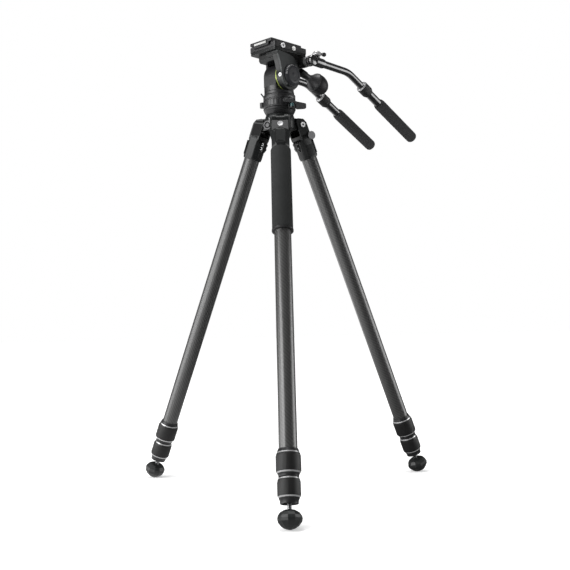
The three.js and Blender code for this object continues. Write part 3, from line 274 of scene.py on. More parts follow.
def carbon_cloth():
    """Two over, two under twill. One square of the UV map is one crossing of two tows."""
    material, tree = new_material("carbon_cloth")
    place = new_node(tree, "UVMap", {}, uv_map="wrap")[0]
    split = new_node(tree, "SeparateXYZ", {0: place})
    step = [maths(tree, "FLOOR", split[i]) for i in (0, 1)]
    along = [maths(tree, "FRACT", split[i]) for i in (0, 1)]
    turn = maths(tree, "FLOORED_MODULO", maths(tree, "ADD", *step), 4)
    over = maths(tree, "LESS_THAN", turn, 1.5)
    hump = [maths(tree, "SINE", maths(tree, "MULTIPLY", part, math.pi)) for part in along]
    height = new_node(tree, "Mix", {"Factor": over, "A": hump[0], "B": hump[1]})[0]
    speckle = new_node(tree, "TexNoise", {"Vector": place, "Scale": 1.7, "Detail": 3})["Fac"]
    shade = new_node(tree, "Mix", {
        "Factor": maths(tree, "MULTIPLY_ADD", over, 0.45, maths(tree, "MULTIPLY", height, speckle)),
        "A": (0.016, 0.016, 0.016, 1),
        "B": (0.062, 0.062, 0.061, 1),
    }, data_type="RGBA")["Result"]
    bump = {"Strength": 0.35, "Distance": 0.0002, "Height": height}
    wire(tree, tree.nodes["Principled BSDF"], {
        "Base Color": shade,
        "Roughness": maths(tree, "MULTIPLY_ADD", over, 0.12, 0.36),
        "Metallic": 0.25,
        "Coat Weight": 0.7,
        "Coat Roughness": 0.2,
        "Normal": new_node(tree, "Bump", bump)[0],
    })
    return material


carbon = carbon_cloth()
for side, place in legs.items():
    for tube, body in (("upper_tube", "leg"), ("middle_tube", "middle"), ("lower_tube", "lower")):
        node = f"leg_{side}_{tube}"
        low, high = span(node, place)
        bore = high.x - TUBE_WALL
        bm = bmesh.new()
        turned(bm, [(bore, low.z), (high.x, low.z), (high.x, high.z), (bore, high.z)])
        wrap(bm, TOWS_ROUND)
        piece(f"{side}_{tube}", bm, place, f"{body}_{side}", carbon, "carbon", [node], edge=0.3)

# ---------------------------------------------------------------- twist locks
# Two on each leg. A black turned core holds a rubber sleeve with fine ribs between two bright
# bevelled rings. Turning the sleeve frees the tube below it.

RIBS_ROUND = 60
RIB_DEPTH = 0.35


def noisy(name, color, roughness, metallic=0.0, grain=900, depth=0.00005, mottle=0.25, coat=0.0,
          specular=0.5):
    """A moulded or painted surface: one colour, slightly uneven, with a fine grain."""
    material, tree = new_material(name)
    place = new_node(tree, "TexCoord", {})["Object"]
    cloud = new_node(tree, "TexNoise", {"Vector": place, "Scale": 45, "Detail": 4})["Fac"]
    fine = new_node(tree, "TexNoise", {"Vector": place, "Scale": grain, "Detail": 2})["Fac"]
    mixed = maths(tree, "MULTIPLY_ADD", fine, 0.5, maths(tree, "MULTIPLY", cloud, 0.5))
    bump = {"Strength": 0.5, "Distance": depth, "Height": fine}
    wire(tree, tree.nodes["Principled BSDF"], {
        "Base Color": new_node(tree, "Mix", {
            "Factor": mixed,
            "A": (*(c * (1 - mottle) for c in color), 1),
            "B": (*(c * (1 + mottle) for c in color), 1),
        }, data_type="RGBA")["Result"],
        "Roughness": maths(tree, "MULTIPLY_ADD", mixed, 0.24 * roughness, 0.88 * roughness),
        "Metallic": metallic,
        "Coat Weight": coat,
        "Coat Roughness": 0.1,
        "Specular IOR Level": specular,
        "Normal": new_node(tree, "Bump", bump)[0],
    })
    return material


# Satin black for real black parts, and also the painted shade in the screws' key holes.
black_satin_and_shade = noisy("black_satin_and_shade", (0.018, 0.018, 0.019), 0.36, metallic=0.3)
# Black rubber for the lock sleeves and collars, and also the painted shade in the saddle's slot and
# the clamp's pockets.
lock_rubber_and_shade = noisy("lock_rubber_and_shade", (0.011, 0.011, 0.011), 0.42, specular=0.28)
ring_steel = noisy("ring_steel", (0.50, 0.50, 0.505), 0.3, metallic=0.6, grain=2500,
    depth=0.00001, mottle=0.08)
bright_steel = noisy("bright_steel", (0.42, 0.425, 0.43), 0.24, metallic=1.0, grain=2500,
    depth=0.00001, mottle=0.08)


def flute(bm, count, depth, above):
    """Presses grooves along z into what lies further out than a radius."""
    for vert in bm.verts:
        radius = math.hypot(vert.co.x, vert.co.y)
        if radius > above:
            wave = 0.5 - 0.5 * math.cos(count * math.atan2(vert.co.y, vert.co.x))
            scale = (radius - depth * wave) / radius
            vert.co.x *= scale
            vert.co.y *= scale


for side, place in legs.items():
    for lock, bore, drops in (
        # down the lock: end of the upper lip, of the ring, start and end of the straight stretch,
        # end of the rubber and of the lower ring
        ("upper_lock", 16.4, (3.6, 7.8, 12.0, 37.0, 38.6, 41.8)),
        ("lower_lock", 14.5, (0.4, 4.0, 9.0, 29.5, 32.0, 36.4)),
    ):
        node = f"leg_{side}_{lock}"
        body = f"{lock}_{side}"
        low, high = span(node, place)
        outer = high.x
        lip, ring, straight, straight_end, rubber_end, ring_end = (low.z + d for d in drops)
        inner = bore + 1.0
        top_ring = outer - 1.62
        end_ring = outer - 1.6
        bright = ring - 2.2  # where the upper bright ring begins
        dark = rubber_end + 2.4  # where the lower one ends

        turned_piece(f"{side}_{lock}_core", [(bore, low.z), (inner, low.z), (top_ring - 1.2, lip),
            (top_ring - 0.6, bright), (top_ring - 1.2, bright), (top_ring - 1.2, ring),
            (outer - 2.6, ring), (outer - 2.6, rubber_end), (end_ring - 1.2, rubber_end),
            (end_ring - 1.2, dark), (end_ring - 0.5, dark), (end_ring - 1.1, ring_end),
            (end_ring - 2.2, ring_end + 1.6), (inner, high.z), (bore - 0.6, high.z)], 72, place,
            body, black_satin_and_shade, "rubber", [node], edge=0.3)

        bm = bmesh.new()
        turned(bm, [(inner, bright), (top_ring - 0.6, bright), (top_ring, ring), (inner, ring)], 96)
        turned(bm, [(inner, rubber_end), (outer - 0.7, rubber_end), (end_ring, rubber_end + 1.4),
            (end_ring - 0.5, dark), (inner, dark)], 96)
        piece(f"{side}_{lock}_rings", bm, place, body, ring_steel, "steel", edge=0.2)

        bm = bmesh.new()
        turned(bm, [(outer - 2.6, ring + 0.1), (top_ring + 0.5, ring + 0.1),
            (outer - 0.3, straight - 1.2), (outer, straight), (outer, straight_end),
            (outer - 0.4, rubber_end - 0.2), (outer - 2.6, rubber_end - 0.2)], RIBS_ROUND * 4)
        flute(bm, RIBS_ROUND, RIB_DEPTH, outer - 0.2)
        piece(f"{side}_{lock}_sleeve", bm, place, body, lock_rubber_and_shade, "rubber")

# ---------------------------------------------------------------- leg castings
# Each leg hangs in an aluminium casting, painted satin black. Two ears take the hinge bolt, and
# an eight-sided collar below them is pinched round the upper tube by two socket screws.

# Bolts and screws are silver metal. This finish is made near white and mostly matt as painted
# light, so that heads in shade still look bright.
silver_painted_light = noisy("silver_painted_light", (0.85, 0.85, 0.86), 0.42, metallic=0.2, grain=2500, depth=0.00001,
    mottle=0.06)
EAR_IN = 16.9
EAR_OUT = 20.4


def filleted(*corners, steps=6):
    """An outline round these corners, each (u, v, radius), with the corners rounded off."""
    points = []
    for i, (u, v, radius) in enumerate(corners):
        here = Vector((u, v))
        before = (Vector(corners[i - 1][:2]) - here).normalized()
        after = (Vector(corners[(i + 1) % len(corners)][:2]) - here).normalized()
        if not radius:
            points.append((u, v))
            continue
        half = before.angle(after) / 2
        centre = here + (before + after).normalized() * radius / math.sin(half)
        first = here + before * radius / math.tan(half) - centre
        last = here + after * radius / math.tan(half) - centre
        start = math.atan2(first.y, first.x)
        turn = math.atan2(last.y, last.x) - start
        turn = (turn + math.pi) % (2 * math.pi) - math.pi
        for step in range(steps + 1):
            angle = start + turn * step / steps
            x, y = math.cos(angle), math.sin(angle)
            points.append((centre.x + radius * x, centre.y + radius * y))
    return points


def rounded(left, low, right, high, *radii, steps=6):
    """A rectangle with rounded corners, the low left one first. One radius is for all four."""
    corners = ((left, low), (right, low), (right, high), (left, high))
    radii = radii if len(radii) == 4 else radii * 4
    return filleted(*((u, v, r) for (u, v), r in zip(corners, radii)), steps=steps)


def arc(half_width, half_height, degrees, centre=(0, 0)):
    """Points of a circle or ellipse at these angles."""
    turns = [math.radians(a) for a in degrees]
    return [(centre[0] + half_width * math.cos(a), centre[1] + half_height * math.sin(a))
            for a in turns]


def ring_of(count, radius, centre=(0, 0), start=0.0):
    """Points round a circle, or the corners of a regular polygon."""
    angles = (start + 2 * math.pi * i / count for i in range(count))
    return [(centre[0] + radius * math.cos(a), centre[1] + radius * math.sin(a)) for a in angles]


def loop(bm, outline, level, axis="z"):
    """A closed ring of edges with this outline, drawn across an axis at this level."""
    order = {"x": (2, 0, 1), "y": (0, 2, 1), "z": (0, 1, 2)}[axis]
    verts = []
    for u, v in outline:
        point = (u, v, level)
        verts.append(bm.verts.new([point[i] for i in order]))
    return [bm.edges.new(pair) for pair in zip(verts, verts[1:] + verts[:1])]


def slab(bm, outline, low, high, axis="z", holes=()):
    """A plate with this outline and these holes, from low to high along an axis."""
    edges = [edge for line in (outline, *holes) for edge in loop(bm, line, low, axis)]
    filled = bmesh.ops.triangle_fill(bm, use_beauty=True, use_dissolve=False, edges=edges)
    faces = [item for item in filled["geom"] if isinstance(item, bmesh.types.BMFace)]
    raised = bmesh.ops.extrude_face_region(bm, geom=faces, use_keep_orig=True)
    verts = [item for item in raised["geom"] if isinstance(item, bmesh.types.BMVert)]
    shift = Vector((axis == "x", axis == "y", axis == "z")) * (high - low)
    bmesh.ops.translate(bm, vec=shift, verts=verts)
    edges = [edge for edge in bm.edges if edge.is_valid]
    bmesh.ops.dissolve_limit(bm, angle_limit=math.radians(0.5), verts=bm.verts, edges=edges)


def loft(bm, rings):
    """Skins over rings of edges in order, and caps the first and last."""
    for below, above in zip(rings, rings[1:]):
        bmesh.ops.bridge_loops(bm, edges=below + above)
    bmesh.ops.contextual_create(bm, geom=rings[0])
    bmesh.ops.contextual_create(bm, geom=rings[-1])


def eight_sided(half, front, back, front_cut, back_cut, radius=1.0):
    """A rectangle with its corners cut off, front toward +y."""
    return filleted(
        (half, back_cut - back, radius), (half, front - front_cut, radius),
        (half - front_cut, front, radius), (front_cut - half, front, radius),
        (-half, front - front_cut, radius), (-half, back_cut - back, radius),
        (back_cut - half, -back, radius), (half - back_cut, -back, radius), steps=3)


def socket_screw(name, place, body, radius, height, across, nodes=(), shank=0.0,
                 metal=bright_steel):
    """A steel screw head on a seat at z = 0, with a six-sided hole for its key."""
    depth = height * 0.75
    bm = bmesh.new()
    outline = ring_of(40, radius)
    key = ring_of(6, across / math.sqrt(3))
    slab(bm, outline, height - depth, height, holes=[key])
    turned(bm, [(0, 0), (radius, 0), (radius, height - depth), (0, height - depth)], 40)
    if shank:
        turned(bm, [(0, -shank), (radius * 0.5, -shank), (radius * 0.5, 0.1), (0, 0.1)], 24)
    piece(name, bm, place, body, metal, "steel", nodes, edge=0.25)
    # The black hexagon at the foot of the key hole is painted shade in the hole.
    bm = bmesh.new()
    slab(bm, ring_of(6, across / math.sqrt(3) - 0.02), height - depth - 0.2, height - depth + 0.15)
    piece(f"{name}_key_hole_shade", bm, place, body, black_satin_and_shade, "casting")


def facing(at, direction, side=(0, 0, 1)):
    """A place at a point whose z axis has a direction; side only has to lie across it."""
    z = Vector(direction).normalized()
    x = Vector(side) - z * Vector(side).dot(z)
    x.normalize()
    return Matrix.Translation(at) @ Matrix((x, z.cross(x), z)).transposed().to_4x4()


casting_paint = noisy("casting_paint", (0.009, 0.010, 0.010), 0.36, metallic=0.1, grain=1400,
    depth=0.00004, specular=0.34)
# Near-black plastic for the ear panels, and also the painted shade in slots, creases and recesses.
insert_plastic_and_shade = noisy("insert_plastic_and_shade", (0.008, 0.008, 0.008), 0.6, grain=700, specular=0.1)
machined = noisy("machined", (0.20, 0.203, 0.205), 0.36, metallic=0.8, grain=1800, depth=0.00002,
    mottle=0.1)
COLLAR = 17.7
BORE = 16.45
POCKET_FLOOR = 8.7

for side, place in legs.items():
    node = f"leg_{side}_socket"
    body = f"leg_{side}"
    end = span(node, place)[1].z

    bm = bmesh.new()
    rings = [
        loop(bm, eight_sided(18.2, 16, 16, 9, 9, 4), 31),
        loop(bm, eight_sided(COLLAR, COLLAR, COLLAR, 8.8, 8.8, 4), 41),
        loop(bm, eight_sided(COLLAR, COLLAR, COLLAR, 8.8, 8.8, 4), end - 5),
        loop(bm, eight_sided(17.2, 17.2, 17.2, 9, 9, 5), end - 1),
        loop(bm, eight_sided(16.9, 16.9, 16.9, 9.6, 9.6, 6), end),
    ]
    inner = [loop(bm, ring_of(32, BORE, start=math.radians(-30)), level) for level in (end, 37)]
    loft(bm, rings + inner)
    # floor of the fork, its front hollowed for the tab
    fork = filleted((-EAR_OUT, -13, 2), (EAR_OUT, -13, 2), (EAR_OUT, 10.4, 4), (17, 10.4, 0),
        (17, POCKET_FLOOR, 0), (-17, POCKET_FLOOR, 0), (-17, 10.4, 0), (-EAR_OUT, 10.4, 4))
    slab(bm, fork, 20.2, 29)
    rings = [
        loop(bm, eight_sided(EAR_OUT, 10.4, 13, 4, 3), 29),
        loop(bm, eight_sided(19.4, 14, 15, 7, 5), 34),
        loop(bm, eight_sided(17.8, 16.5, 16.5, 8.6, 8.6), 42),
    ]
    loft(bm, rings)
    # ears, cut off above and bevelled along their front
    ear = filleted((-13, 26, 0), (-13, -8.5, 3), (-8.5, -16.4, 4), (6, -10.6, 5), (10.4, -2, 6),
        (10.4, 26, 0))
    slab(bm, ear, -EAR_OUT, -EAR_IN, "x")
    slab(bm, ear, EAR_IN, EAR_OUT, "x")
    # pinch lug
    lug = filleted((-12, 27.3, 0), (-18, 27.3, 0), (-21.8, 31, 2), (-21.8, 46.5, 3), (-16, 54.6, 3),
        (-12, 54.6, 0))
    slab(bm, lug, 0.7, 6, "x")
    slab(bm, lug, -6, -0.7, "x")
    # tongue down the front face, with a slot near its end
    tongue = filleted((-9.5, 33.6, 1.5), (9.5, 33.6, 1.5), (8.8, 63.5, 2.4), (-8.8, 63.5, 2.4))
    slab(bm, tongue, 15.5, 18.2, "y", holes=[rounded(-6, 59, 6, 61.6, 1, steps=3)])
    piece(f"{side}_casting", bm, place, body, casting_paint, "casting", [node], edge=0.9)
    # painted shade: thin black strips beside the tongue, where the creases at its sides fall in
    # shadow
    bm = bmesh.new()
    for sign in (-1, 1):
        slab(bm, [(sign * 9.6, 34), (sign * 11.4, 34), (sign * 10.6, 63), (sign * 8.9, 63)], 17.2,
            17.9, "y")
    piece(f"{side}_tongue_crease_shade", bm, place, body, insert_plastic_and_shade, "casting")

    # plastic panel let into the +x ear, and above it a black sheet of painted shade where a slot
    # lies in shadow
    bm = bmesh.new()
    panel = filleted((-12, -5.6, 1), (8.2, -2.2, 1.5), (7.6, 23, 2), (-12, 19.4, 2))
    slab(bm, panel, EAR_OUT - 1, EAR_OUT + 0.7, "x")
    piece(f"{side}_hinge_cover", bm, place, body, insert_plastic_and_shade, "casting", edge=0.4)
    bm = bmesh.new()
    slot_shade_outline = filleted((-11.6, -13.2, 1), (5.2, -8.4, 1), (7.4, -4.4, 1), (-11.6, -7.6, 1))
    slab(bm, slot_shade_outline, EAR_OUT - 1, EAR_OUT + 0.15, "x")
    piece(f"{side}_hinge_slot_shade", bm, place, body, insert_plastic_and_shade, "casting")

    # hinge bolt in its seat, and the screws in both faces of the pinch lug
    bolt = place @ facing((-EAR_OUT, 0, 0), (-1, 0, 0))
    turned_piece(f"{side}_bolt_seat", [(5.9, -0.3), (6.9, -0.3), (6.9, 0.5), (6.5, 0.8), (6.1, 0.8),
        (5.9, 0.5)], 72, bolt, body, black_satin_and_shade, "casting")
    socket_screw(f"{side}_hinge_bolt", bolt, body, 5.2, 1.5, 4.3, [f"leg_{side}_pivot_bolt"],
        shank=38, metal=silver_painted_light)
    for face, sign in (("right", 1), ("left", -1)):
        for z in (33.5, 42.5):
            screw = place @ facing((6 * sign, -18.6, z), (sign, 0, 0))
            socket_screw(f"{side}_pinch_screw_{z:.0f}_{face}", screw, body, 3.0, 2.6, 3.0,
                metal=machined)

# cap of the accessory boss on the right leg
boss_grey = noisy("boss_grey", (0.20, 0.20, 0.205), 0.5, metallic=0.2, grain=1500, mottle=0.1)
boss = legs["right"] @ facing((-EAR_OUT, 11, 26.3), (-1, 0, 0))
turned_piece("right_boss_cap", [(0, -3.2), (5, -3.2), (5, 0.3), (8.0, 0.3), (8.5, 0.8), (8.5, 2.2),
    (7.9, 2.9), (0, 2.9)], 72, boss, "leg_right", boss_grey, "grey_metal")

# ---------------------------------------------------------------- angle tabs
# A spring holds each pull tab against a step of the spider and so stops the leg. Pulled out, it
# lets the leg swing wider. It is cast, and its lower edge is arched for a finger.

tab_painted_light_grey = noisy("tab_painted_light_grey", (0.055, 0.055, 0.056), 0.42, metallic=0.3, grain=1400, mottle=0.12)
badge_silver = noisy("badge_silver", (0.50, 0.50, 0.51), 0.4, metallic=0.2, grain=1800,
    depth=0.00001, mottle=0.05)

for side, place in legs.items():
    bm = bmesh.new()
    tab = filleted((-16.4, 9.1, 1.5), (16.4, 9.1, 1.5), (16.4, 32.4, 1.5), (11, 29.5, 5),
        (0, 26.6, 16), (-11, 29.5, 5), (-16.4, 32.4, 1.5))
    slab(bm, tab, 9.1, 12.9, "y")
    # Only the front tab is grey: painted light for the light its face catches. The tabs of the
    # other legs keep the black casting paint.
    paint = tab_painted_light_grey if side == "front" else casting_paint
    slot = "grey_metal" if side == "front" else "casting"
    piece(f"{side}_angle_tab", bm, place, f"tab_{side}", paint, slot, [f"leg_{side}_angle_tab"],
        edge=0.8)
    if side == "front":
        bm = bmesh.new()
        turned(bm, [(0, 0), (5.6, 0), (5.6, 0.35), (5.2, 0.6), (4.6, 0.6), (4.3, 0.42), (0, 0.42)])
        badge = place @ facing((0.3, 12.8, 17), (0, 1, 0))
        piece("front_tab_badge", bm, badge, "tab_front", badge_silver, "steel")

# ---------------------------------------------------------------- leg grip
# The front leg has a foam sleeve for carrying, pushed over the upper tube. A thin hard ring holds
# its lower end.

foam = noisy("foam", (0.024, 0.025, 0.025), 0.9, grain=2600, depth=0.0003, mottle=0.35,
    specular=0.12)
place = legs["front"]
low, high = span("leg_front_grip", place)
rim = high.z - 4
sleeve = high.x - 0.7
grip = turned_piece("front_grip", [(BORE, low.z), (sleeve - 1.6, low.z),
    (sleeve - 0.5, low.z + 0.6), (sleeve, low.z + 2.4), (sleeve, (low.z + rim) / 2),
    (sleeve, rim - 2), (sleeve - 0.5, rim - 0.4), (sleeve - 1.5, rim), (BORE, rim)], 96, place,
    "leg_front", foam, "foam", ["leg_front_grip"])
turned_piece("front_grip_ring", [(BORE, rim), (high.x - 0.5, rim), (high.x, rim + 0.5),
    (high.x, high.z - 0.8), (high.x - 0.8, high.z), (BORE, high.z)], 96, place, "leg_front",
    black_satin_and_shade, "rubber")

# ---------------------------------------------------------------- feet
# A threaded steel stud in the end of each lower tube carries a foot of hard rubber, a ball cut into
# flat facets.

THREAD_PITCH = 1.5
FOOT_FACETS = 11
foot_rubber = noisy("foot_rubber", (0.012, 0.013, 0.013), 0.4, grain=900, depth=0.00006,
    specular=0.45)


def thread(bm, radius, depth, low, high, pitch):
    """A screw thread from low to high on the z axis, round a core that closes its ends."""
    steps = 24
    root = radius - depth
    points = [(root, 0), (radius, pitch * 0.42), (radius, pitch * 0.58), (root, pitch)]
    verts = [bm.verts.new((r, 0, low + z)) for r, z in points]
    edges = [bm.edges.new(pair) for pair in zip(verts, verts[1:])]
    turns = int((high - low - pitch) / pitch)
    bmesh.ops.spin(bm, geom=verts + edges, cent=(0, 0, 0), axis=(0, 0, 1), steps=steps * turns,
        angle=2 * math.pi * turns, dvec=(0, 0, pitch / steps), use_merge=False)
    bmesh.ops.remove_doubles(bm, verts=bm.verts, dist=1e-4)
    bmesh.ops.holes_fill(bm, edges=bm.edges, sides=8)
    turned(bm, [(0, low), (root + 0.02, low), (root + 0.02, high), (0, high)], steps)


for side, place in legs.items():
    low, high = span(f"leg_{side}_foot_stud", place)
    lock_end = span(f"leg_{side}_lower_lock", place)[1].z
    bm = bmesh.new()
    turned(bm, [(0, low.z), (3.5, low.z), (3.5, lock_end), (0, lock_end)], 24)
    thread(bm, high.x, 0.5, lock_end - 1.5, high.z, THREAD_PITCH)
    piece(f"{side}_foot_stud", bm, place, f"foot_{side}", bright_steel, "steel",
        [f"leg_{side}_foot_stud"])

    low, high = span(f"leg_{side}_foot", place)
    wide = high.y
    middle = high.z - 17.6
    foot = turned_piece(f"{side}_foot", [(0, low.z + 7.3), (4.3, low.z + 7.3), (4.3, low.z + 0.6),
        (9.6, low.z + 0.6), (16.4, middle - 10), (20.4, middle - 4.6), (wide, middle),
        (20.4, middle + 5), (15.2, middle + 11.8), (9.8, middle + 15.4), (6.5, middle + 16.6),
        (6, middle + 16), (3.5, middle + 16.8), (3, high.z), (0, high.z)], FOOT_FACETS, place,
        f"foot_{side}", foot_rubber, "rubber", [f"leg_{side}_foot"])
    foot.data.shade_flat()

# ---------------------------------------------------------------- spider
# The legs hang on a cast hub with three broad tongues. Grub screws in its sides hold the mounting
# plate, and a bracket for a strap is screwed on beside the front leg.

lever_grey = noisy("lever_grey", (0.050, 0.050, 0.052), 0.4, metallic=0.25, grain=1500, mottle=0.1)
hinge_z = joint("front_leg_spread")["pos_m"][2]
apex = Matrix.Translation((0, 0, hinge_z)) @ Matrix.Scale(MM, 4)

bm = bmesh.new()
turned(bm, [(0, -33.7), (15.6, -33.7), (17, -32.3), (17, -14), (18.5, -12), (28, -12), (30, -10),
    (30, 3.6), (29.3, 4.2), (29.3, 5.4), (30, 6), (30, 12), (28, 17.9), (0, 17.9)], 96)
for side in SIDES:
    at = apex.inverted() @ Vector(joint(f"{side}_leg_spread")["pos_m"])
    outward = at.normalized()
    turn = Matrix((Vector((0, 0, 1)).cross(-outward), -outward, (0, 0, 1))).transposed().to_4x4()
    spoke = bmesh.new()
    cheek = filleted((30, -12, 0), (30, 12, 0), (-12, 12, 11.9), (-12, -12, 11.9), steps=12)
    web = filleted((30, -9, 0), (30, 9.5, 0), (-9.5, 9.5, 9.4), (-9.5, -9, 9.4), steps=12)
    slab(spoke, cheek, 8.5, 16.5, "x")
    slab(spoke, cheek, -16.5, -8.5, "x")
    slab(spoke, web, -9, 9, "x")
    add_part(bm, spoke, Matrix.Translation(at) @ turn)
piece("spider_casting", bm, apex, "apex", casting_paint, "casting", ["spider"], edge=0.9)

for degrees in (30, 150, 270):
    turn = math.radians(degrees)
    way = (math.cos(turn), math.sin(turn), 0)
    grub = apex @ facing((29.6 * way[0], 29.6 * way[1], 9), way)
    socket_screw(f"hub_screw_{degrees}", grub, "apex", 3.2, 1.2, 2.5)

# bracket: a plate bent into a C round the head of its screw
bracket = apex @ facing((-24.5, -20.5, -5.5), (-0.45, -0.9, 0))
bm = bmesh.new()
slab(bm, arc(9.2, 9.2, range(-55, 236, 15)) + arc(6.4, 6.4, range(235, -56, -15)), 0, 2.6)
piece("strap_bracket", bm, bracket, "apex", lever_grey, "grey_metal", edge=0.5)
turned_piece("strap_bracket_screw", [(0, -8), (4.6, -8), (4.6, 1.6), (4.0, 2.2), (0, 2.2)], 32,
    bracket, "apex", lever_grey, "grey_metal")

# ---------------------------------------------------------------- hook knob
# A knurled aluminium knob under the spider, anodised black, closes the thread for a weight hook.

bm = bmesh.new()
turned(bm, [(0, -41.2), (9.6, -41.2), (10.4, -40.8), (12, -39.2), (12, -35.6), (11.4, -34.9),
    (5, -34.6), (4.8, -34.4), (4.8, -23), (0, -23)], 160)
flute(bm, 40, 0.5, 11.9)
piece("hook_knob_knurled", bm, apex, "apex", black_satin_and_shade, "anodised", ["hook_knob"])

# ---------------------------------------------------------------- mounting plate
# A turned cone between spider and head, anodised black, with two fine grooves round its rim.

turned_piece("mounting_cone", [(0, 18.4), (27.4, 18.4), (28, 18.9), (31.6, 25.6), (31.2, 26.1),
    (31.7, 26.6), (32.6, 28), (33, 28.8), (33, 29.4), (32.6, 29.7), (33, 30), (33, 30.6),
    (32.6, 30.9), (0, 30.9)], 96, apex, "apex", black_satin_and_shade, "anodised", ["mounting_plate"])

# ---------------------------------------------------------------- pan base
# The fixed lower half of the pan joint, a black anodised drum with wide flutes. A lug sticks out on
# one side, and a shelf carries the spirit level.

gloss_black = noisy("gloss_black", (0.007, 0.007, 0.008), 0.2, grain=900, depth=0.000002,
    specular=0.7, coat=0.9)
head_black = noisy("head_black", (0.010, 0.010, 0.011), 0.38, metallic=0.1, grain=1600,
    depth=0.00003, specular=0.62)
base_z = 31.3
FLUTED = 33.15  # radius of the band with the flutes
DRUM_FLUTES = 20
FLUTE_DEPTH = 0.016  # as a share of the radius
bm = bmesh.new()
turned(bm, [(0, base_z), (31.7, base_z), (33.1, base_z + 1.6), (33.1, base_z + 2.6),
    (32.2, base_z + 3.2), (FLUTED, base_z + 3.8), (FLUTED, base_z + 14.6), (32.2, base_z + 15.2),
    (33.1, base_z + 15.8), (33.1, base_z + 17.2), (32.4, base_z + 18), (29.4, base_z + 18),
    (29.4, base_z + 27), (0, base_z + 27)], 240)
for vert in bm.verts:
    radius = math.hypot(vert.co.x, vert.co.y)
    if radius > FLUTED - 0.03:
        wave = abs(math.sin(DRUM_FLUTES / 2 * math.atan2(vert.co.y, vert.co.x)))
        scale = 1 - FLUTE_DEPTH * (1 - wave) ** 2
        vert.co.x *= scale
        vert.co.y *= scale
slab(bm, rounded(-40, -6.9, -28, 6.9, 4.5, 0, 0, 4.5), base_z + 3.4, base_z + 13.2)
piece("pan_base_drum", bm, apex, "apex", head_black, "anodised", ["pan_base"], edge=0.5)

# ---------------------------------------------------------------- spirit level
# A round plastic vial of teal liquid in a black cup, on a shelf under the rim of the pan base.

vial_teal = noisy("vial_teal", (0.014, 0.055, 0.06), 0.45, grain=300, depth=0, mottle=0.4, coat=0.1)
vial_clear = noisy("vial_clear", (0.45, 0.62, 0.60), 0.1, grain=300, depth=0, mottle=0.1, coat=1.0)
shelf = apex @ Matrix.Rotation(math.radians(-50), 4, "Z") @ Matrix.Translation((39.5, 0, 0))
foot_z = base_z - 3.2
turned_piece("vial_body", [(0, foot_z + 0.1), (3.7, foot_z + 0.1), (3.9, foot_z + 0.4),
    (3.9, foot_z + 7.4), (3.4, foot_z + 8.1), (0, foot_z + 8.4)], 48, shelf, "apex", vial_teal,
    "vial", ["bubble_level"])
turned_piece("vial_mark", [(2.1, foot_z + 8.3), (2.5, foot_z + 8.3), (2.5, foot_z + 8.5),
    (2.1, foot_z + 8.5)], 32, shelf, "apex", black_satin_and_shade, "anodised")
turned_piece("vial_bubble", [(0, foot_z + 8.1), (1.7, foot_z + 8.1), (1.5, foot_z + 8.5),
    (0, foot_z + 8.6)], 32, shelf, "apex", vial_clear, "vial")
bm = bmesh.new()
turned(bm, [(0, foot_z - 1.6), (4.8, foot_z - 1.6), (5.1, foot_z - 1.3), (5.1, foot_z + 1.5),
    (4.1, foot_z + 1.5), (4.1, foot_z), (0, foot_z)], 48)
slab(bm, rounded(-6.2, -5.1, -1, 5.1, 0), foot_z - 1.6, foot_z - 0.3)
slab(bm, rounded(-6, -5.1, -4.3, 5.1, 0, 0.5, 0.5, 0), foot_z - 1.6, base_z + 3.9)
slab(bm, rounded(-9, -5.1, -4.3, 5.1, 0), base_z + 0.1, base_z + 3.9)
piece("vial_cup", bm, shelf, "apex", black_satin_and_shade, "anodised", edge=0.3)

# ---------------------------------------------------------------- pan drag ring
# A fluted ring round the neck of the pan base sets the pan drag. It is turned by a thin raised tip.

ring_low = 49.6
bm = bmesh.new()
turned(bm, [(29.8, ring_low), (32.2, ring_low), (32.75, ring_low + 0.6), (32.75, ring_low + 7.8),
    (32.2, ring_low + 8.4), (29.8, ring_low + 8.4)], 288)
flute(bm, 72, 0.35, 32.7)
tip = facing((-31.5, 0, ring_low + 6.4), (-6.5, 0, 8.5), (0, 1, 0))
stick = bmesh.new()
turned(stick, [(0, 0), (1.5, 0), (1.5, 8.5), (1.2, 9.8), (0, 10.4)], 24)
add_part(bm, stick, tip)
piece("drag_ring_fluted", bm, apex, "drag_ring", head_black, "anodised", ["pan_drag_ring"])

# ---------------------------------------------------------------- pan lock lever
# A cast grey paddle on a steel pin, at the front of the pan base. Lifted, it frees the pan joint.

turn = joint("pan_lock_turn")
pin = stand(turn["pos_m"], turn["axis"], (0, 0, 1))
bm = bmesh.new()
paddle = filleted((-5.4, -5.4, 5.3), (19, -6.4, 5), (23, -19.2, 3), (42.9, -16.8, 2.6),
    (42.9, -6.6, 2.6), (22.5, -4, 6), (-5.4, 5.4, 5.3))
slab(bm, paddle, 33.6, 39.4, "x")
pin_part = bmesh.new()
turned(pin_part, [(0, 27), (2.4, 27), (2.4, 34), (0, 34)], 24)
add_part(bm, pin_part, Matrix.Rotation(math.pi / 2, 4, "Y"))
piece("lock_paddle", bm, pin, "pan_lock", lever_grey, "casting", ["pan_lock_lever"], edge=1.2)
socket_screw("lock_paddle_screw", pin @ facing((38.4, 0, 0), (1, 0, 0)), "pan_lock", 2.4, 1.3, 2.2)

# ---------------------------------------------------------------- pan body
# The upper half of the pan joint, a cast drum, with the barrel of the tilt cartridge across it.
# Everything is painted satin black. The tilt platform swings past its right side.

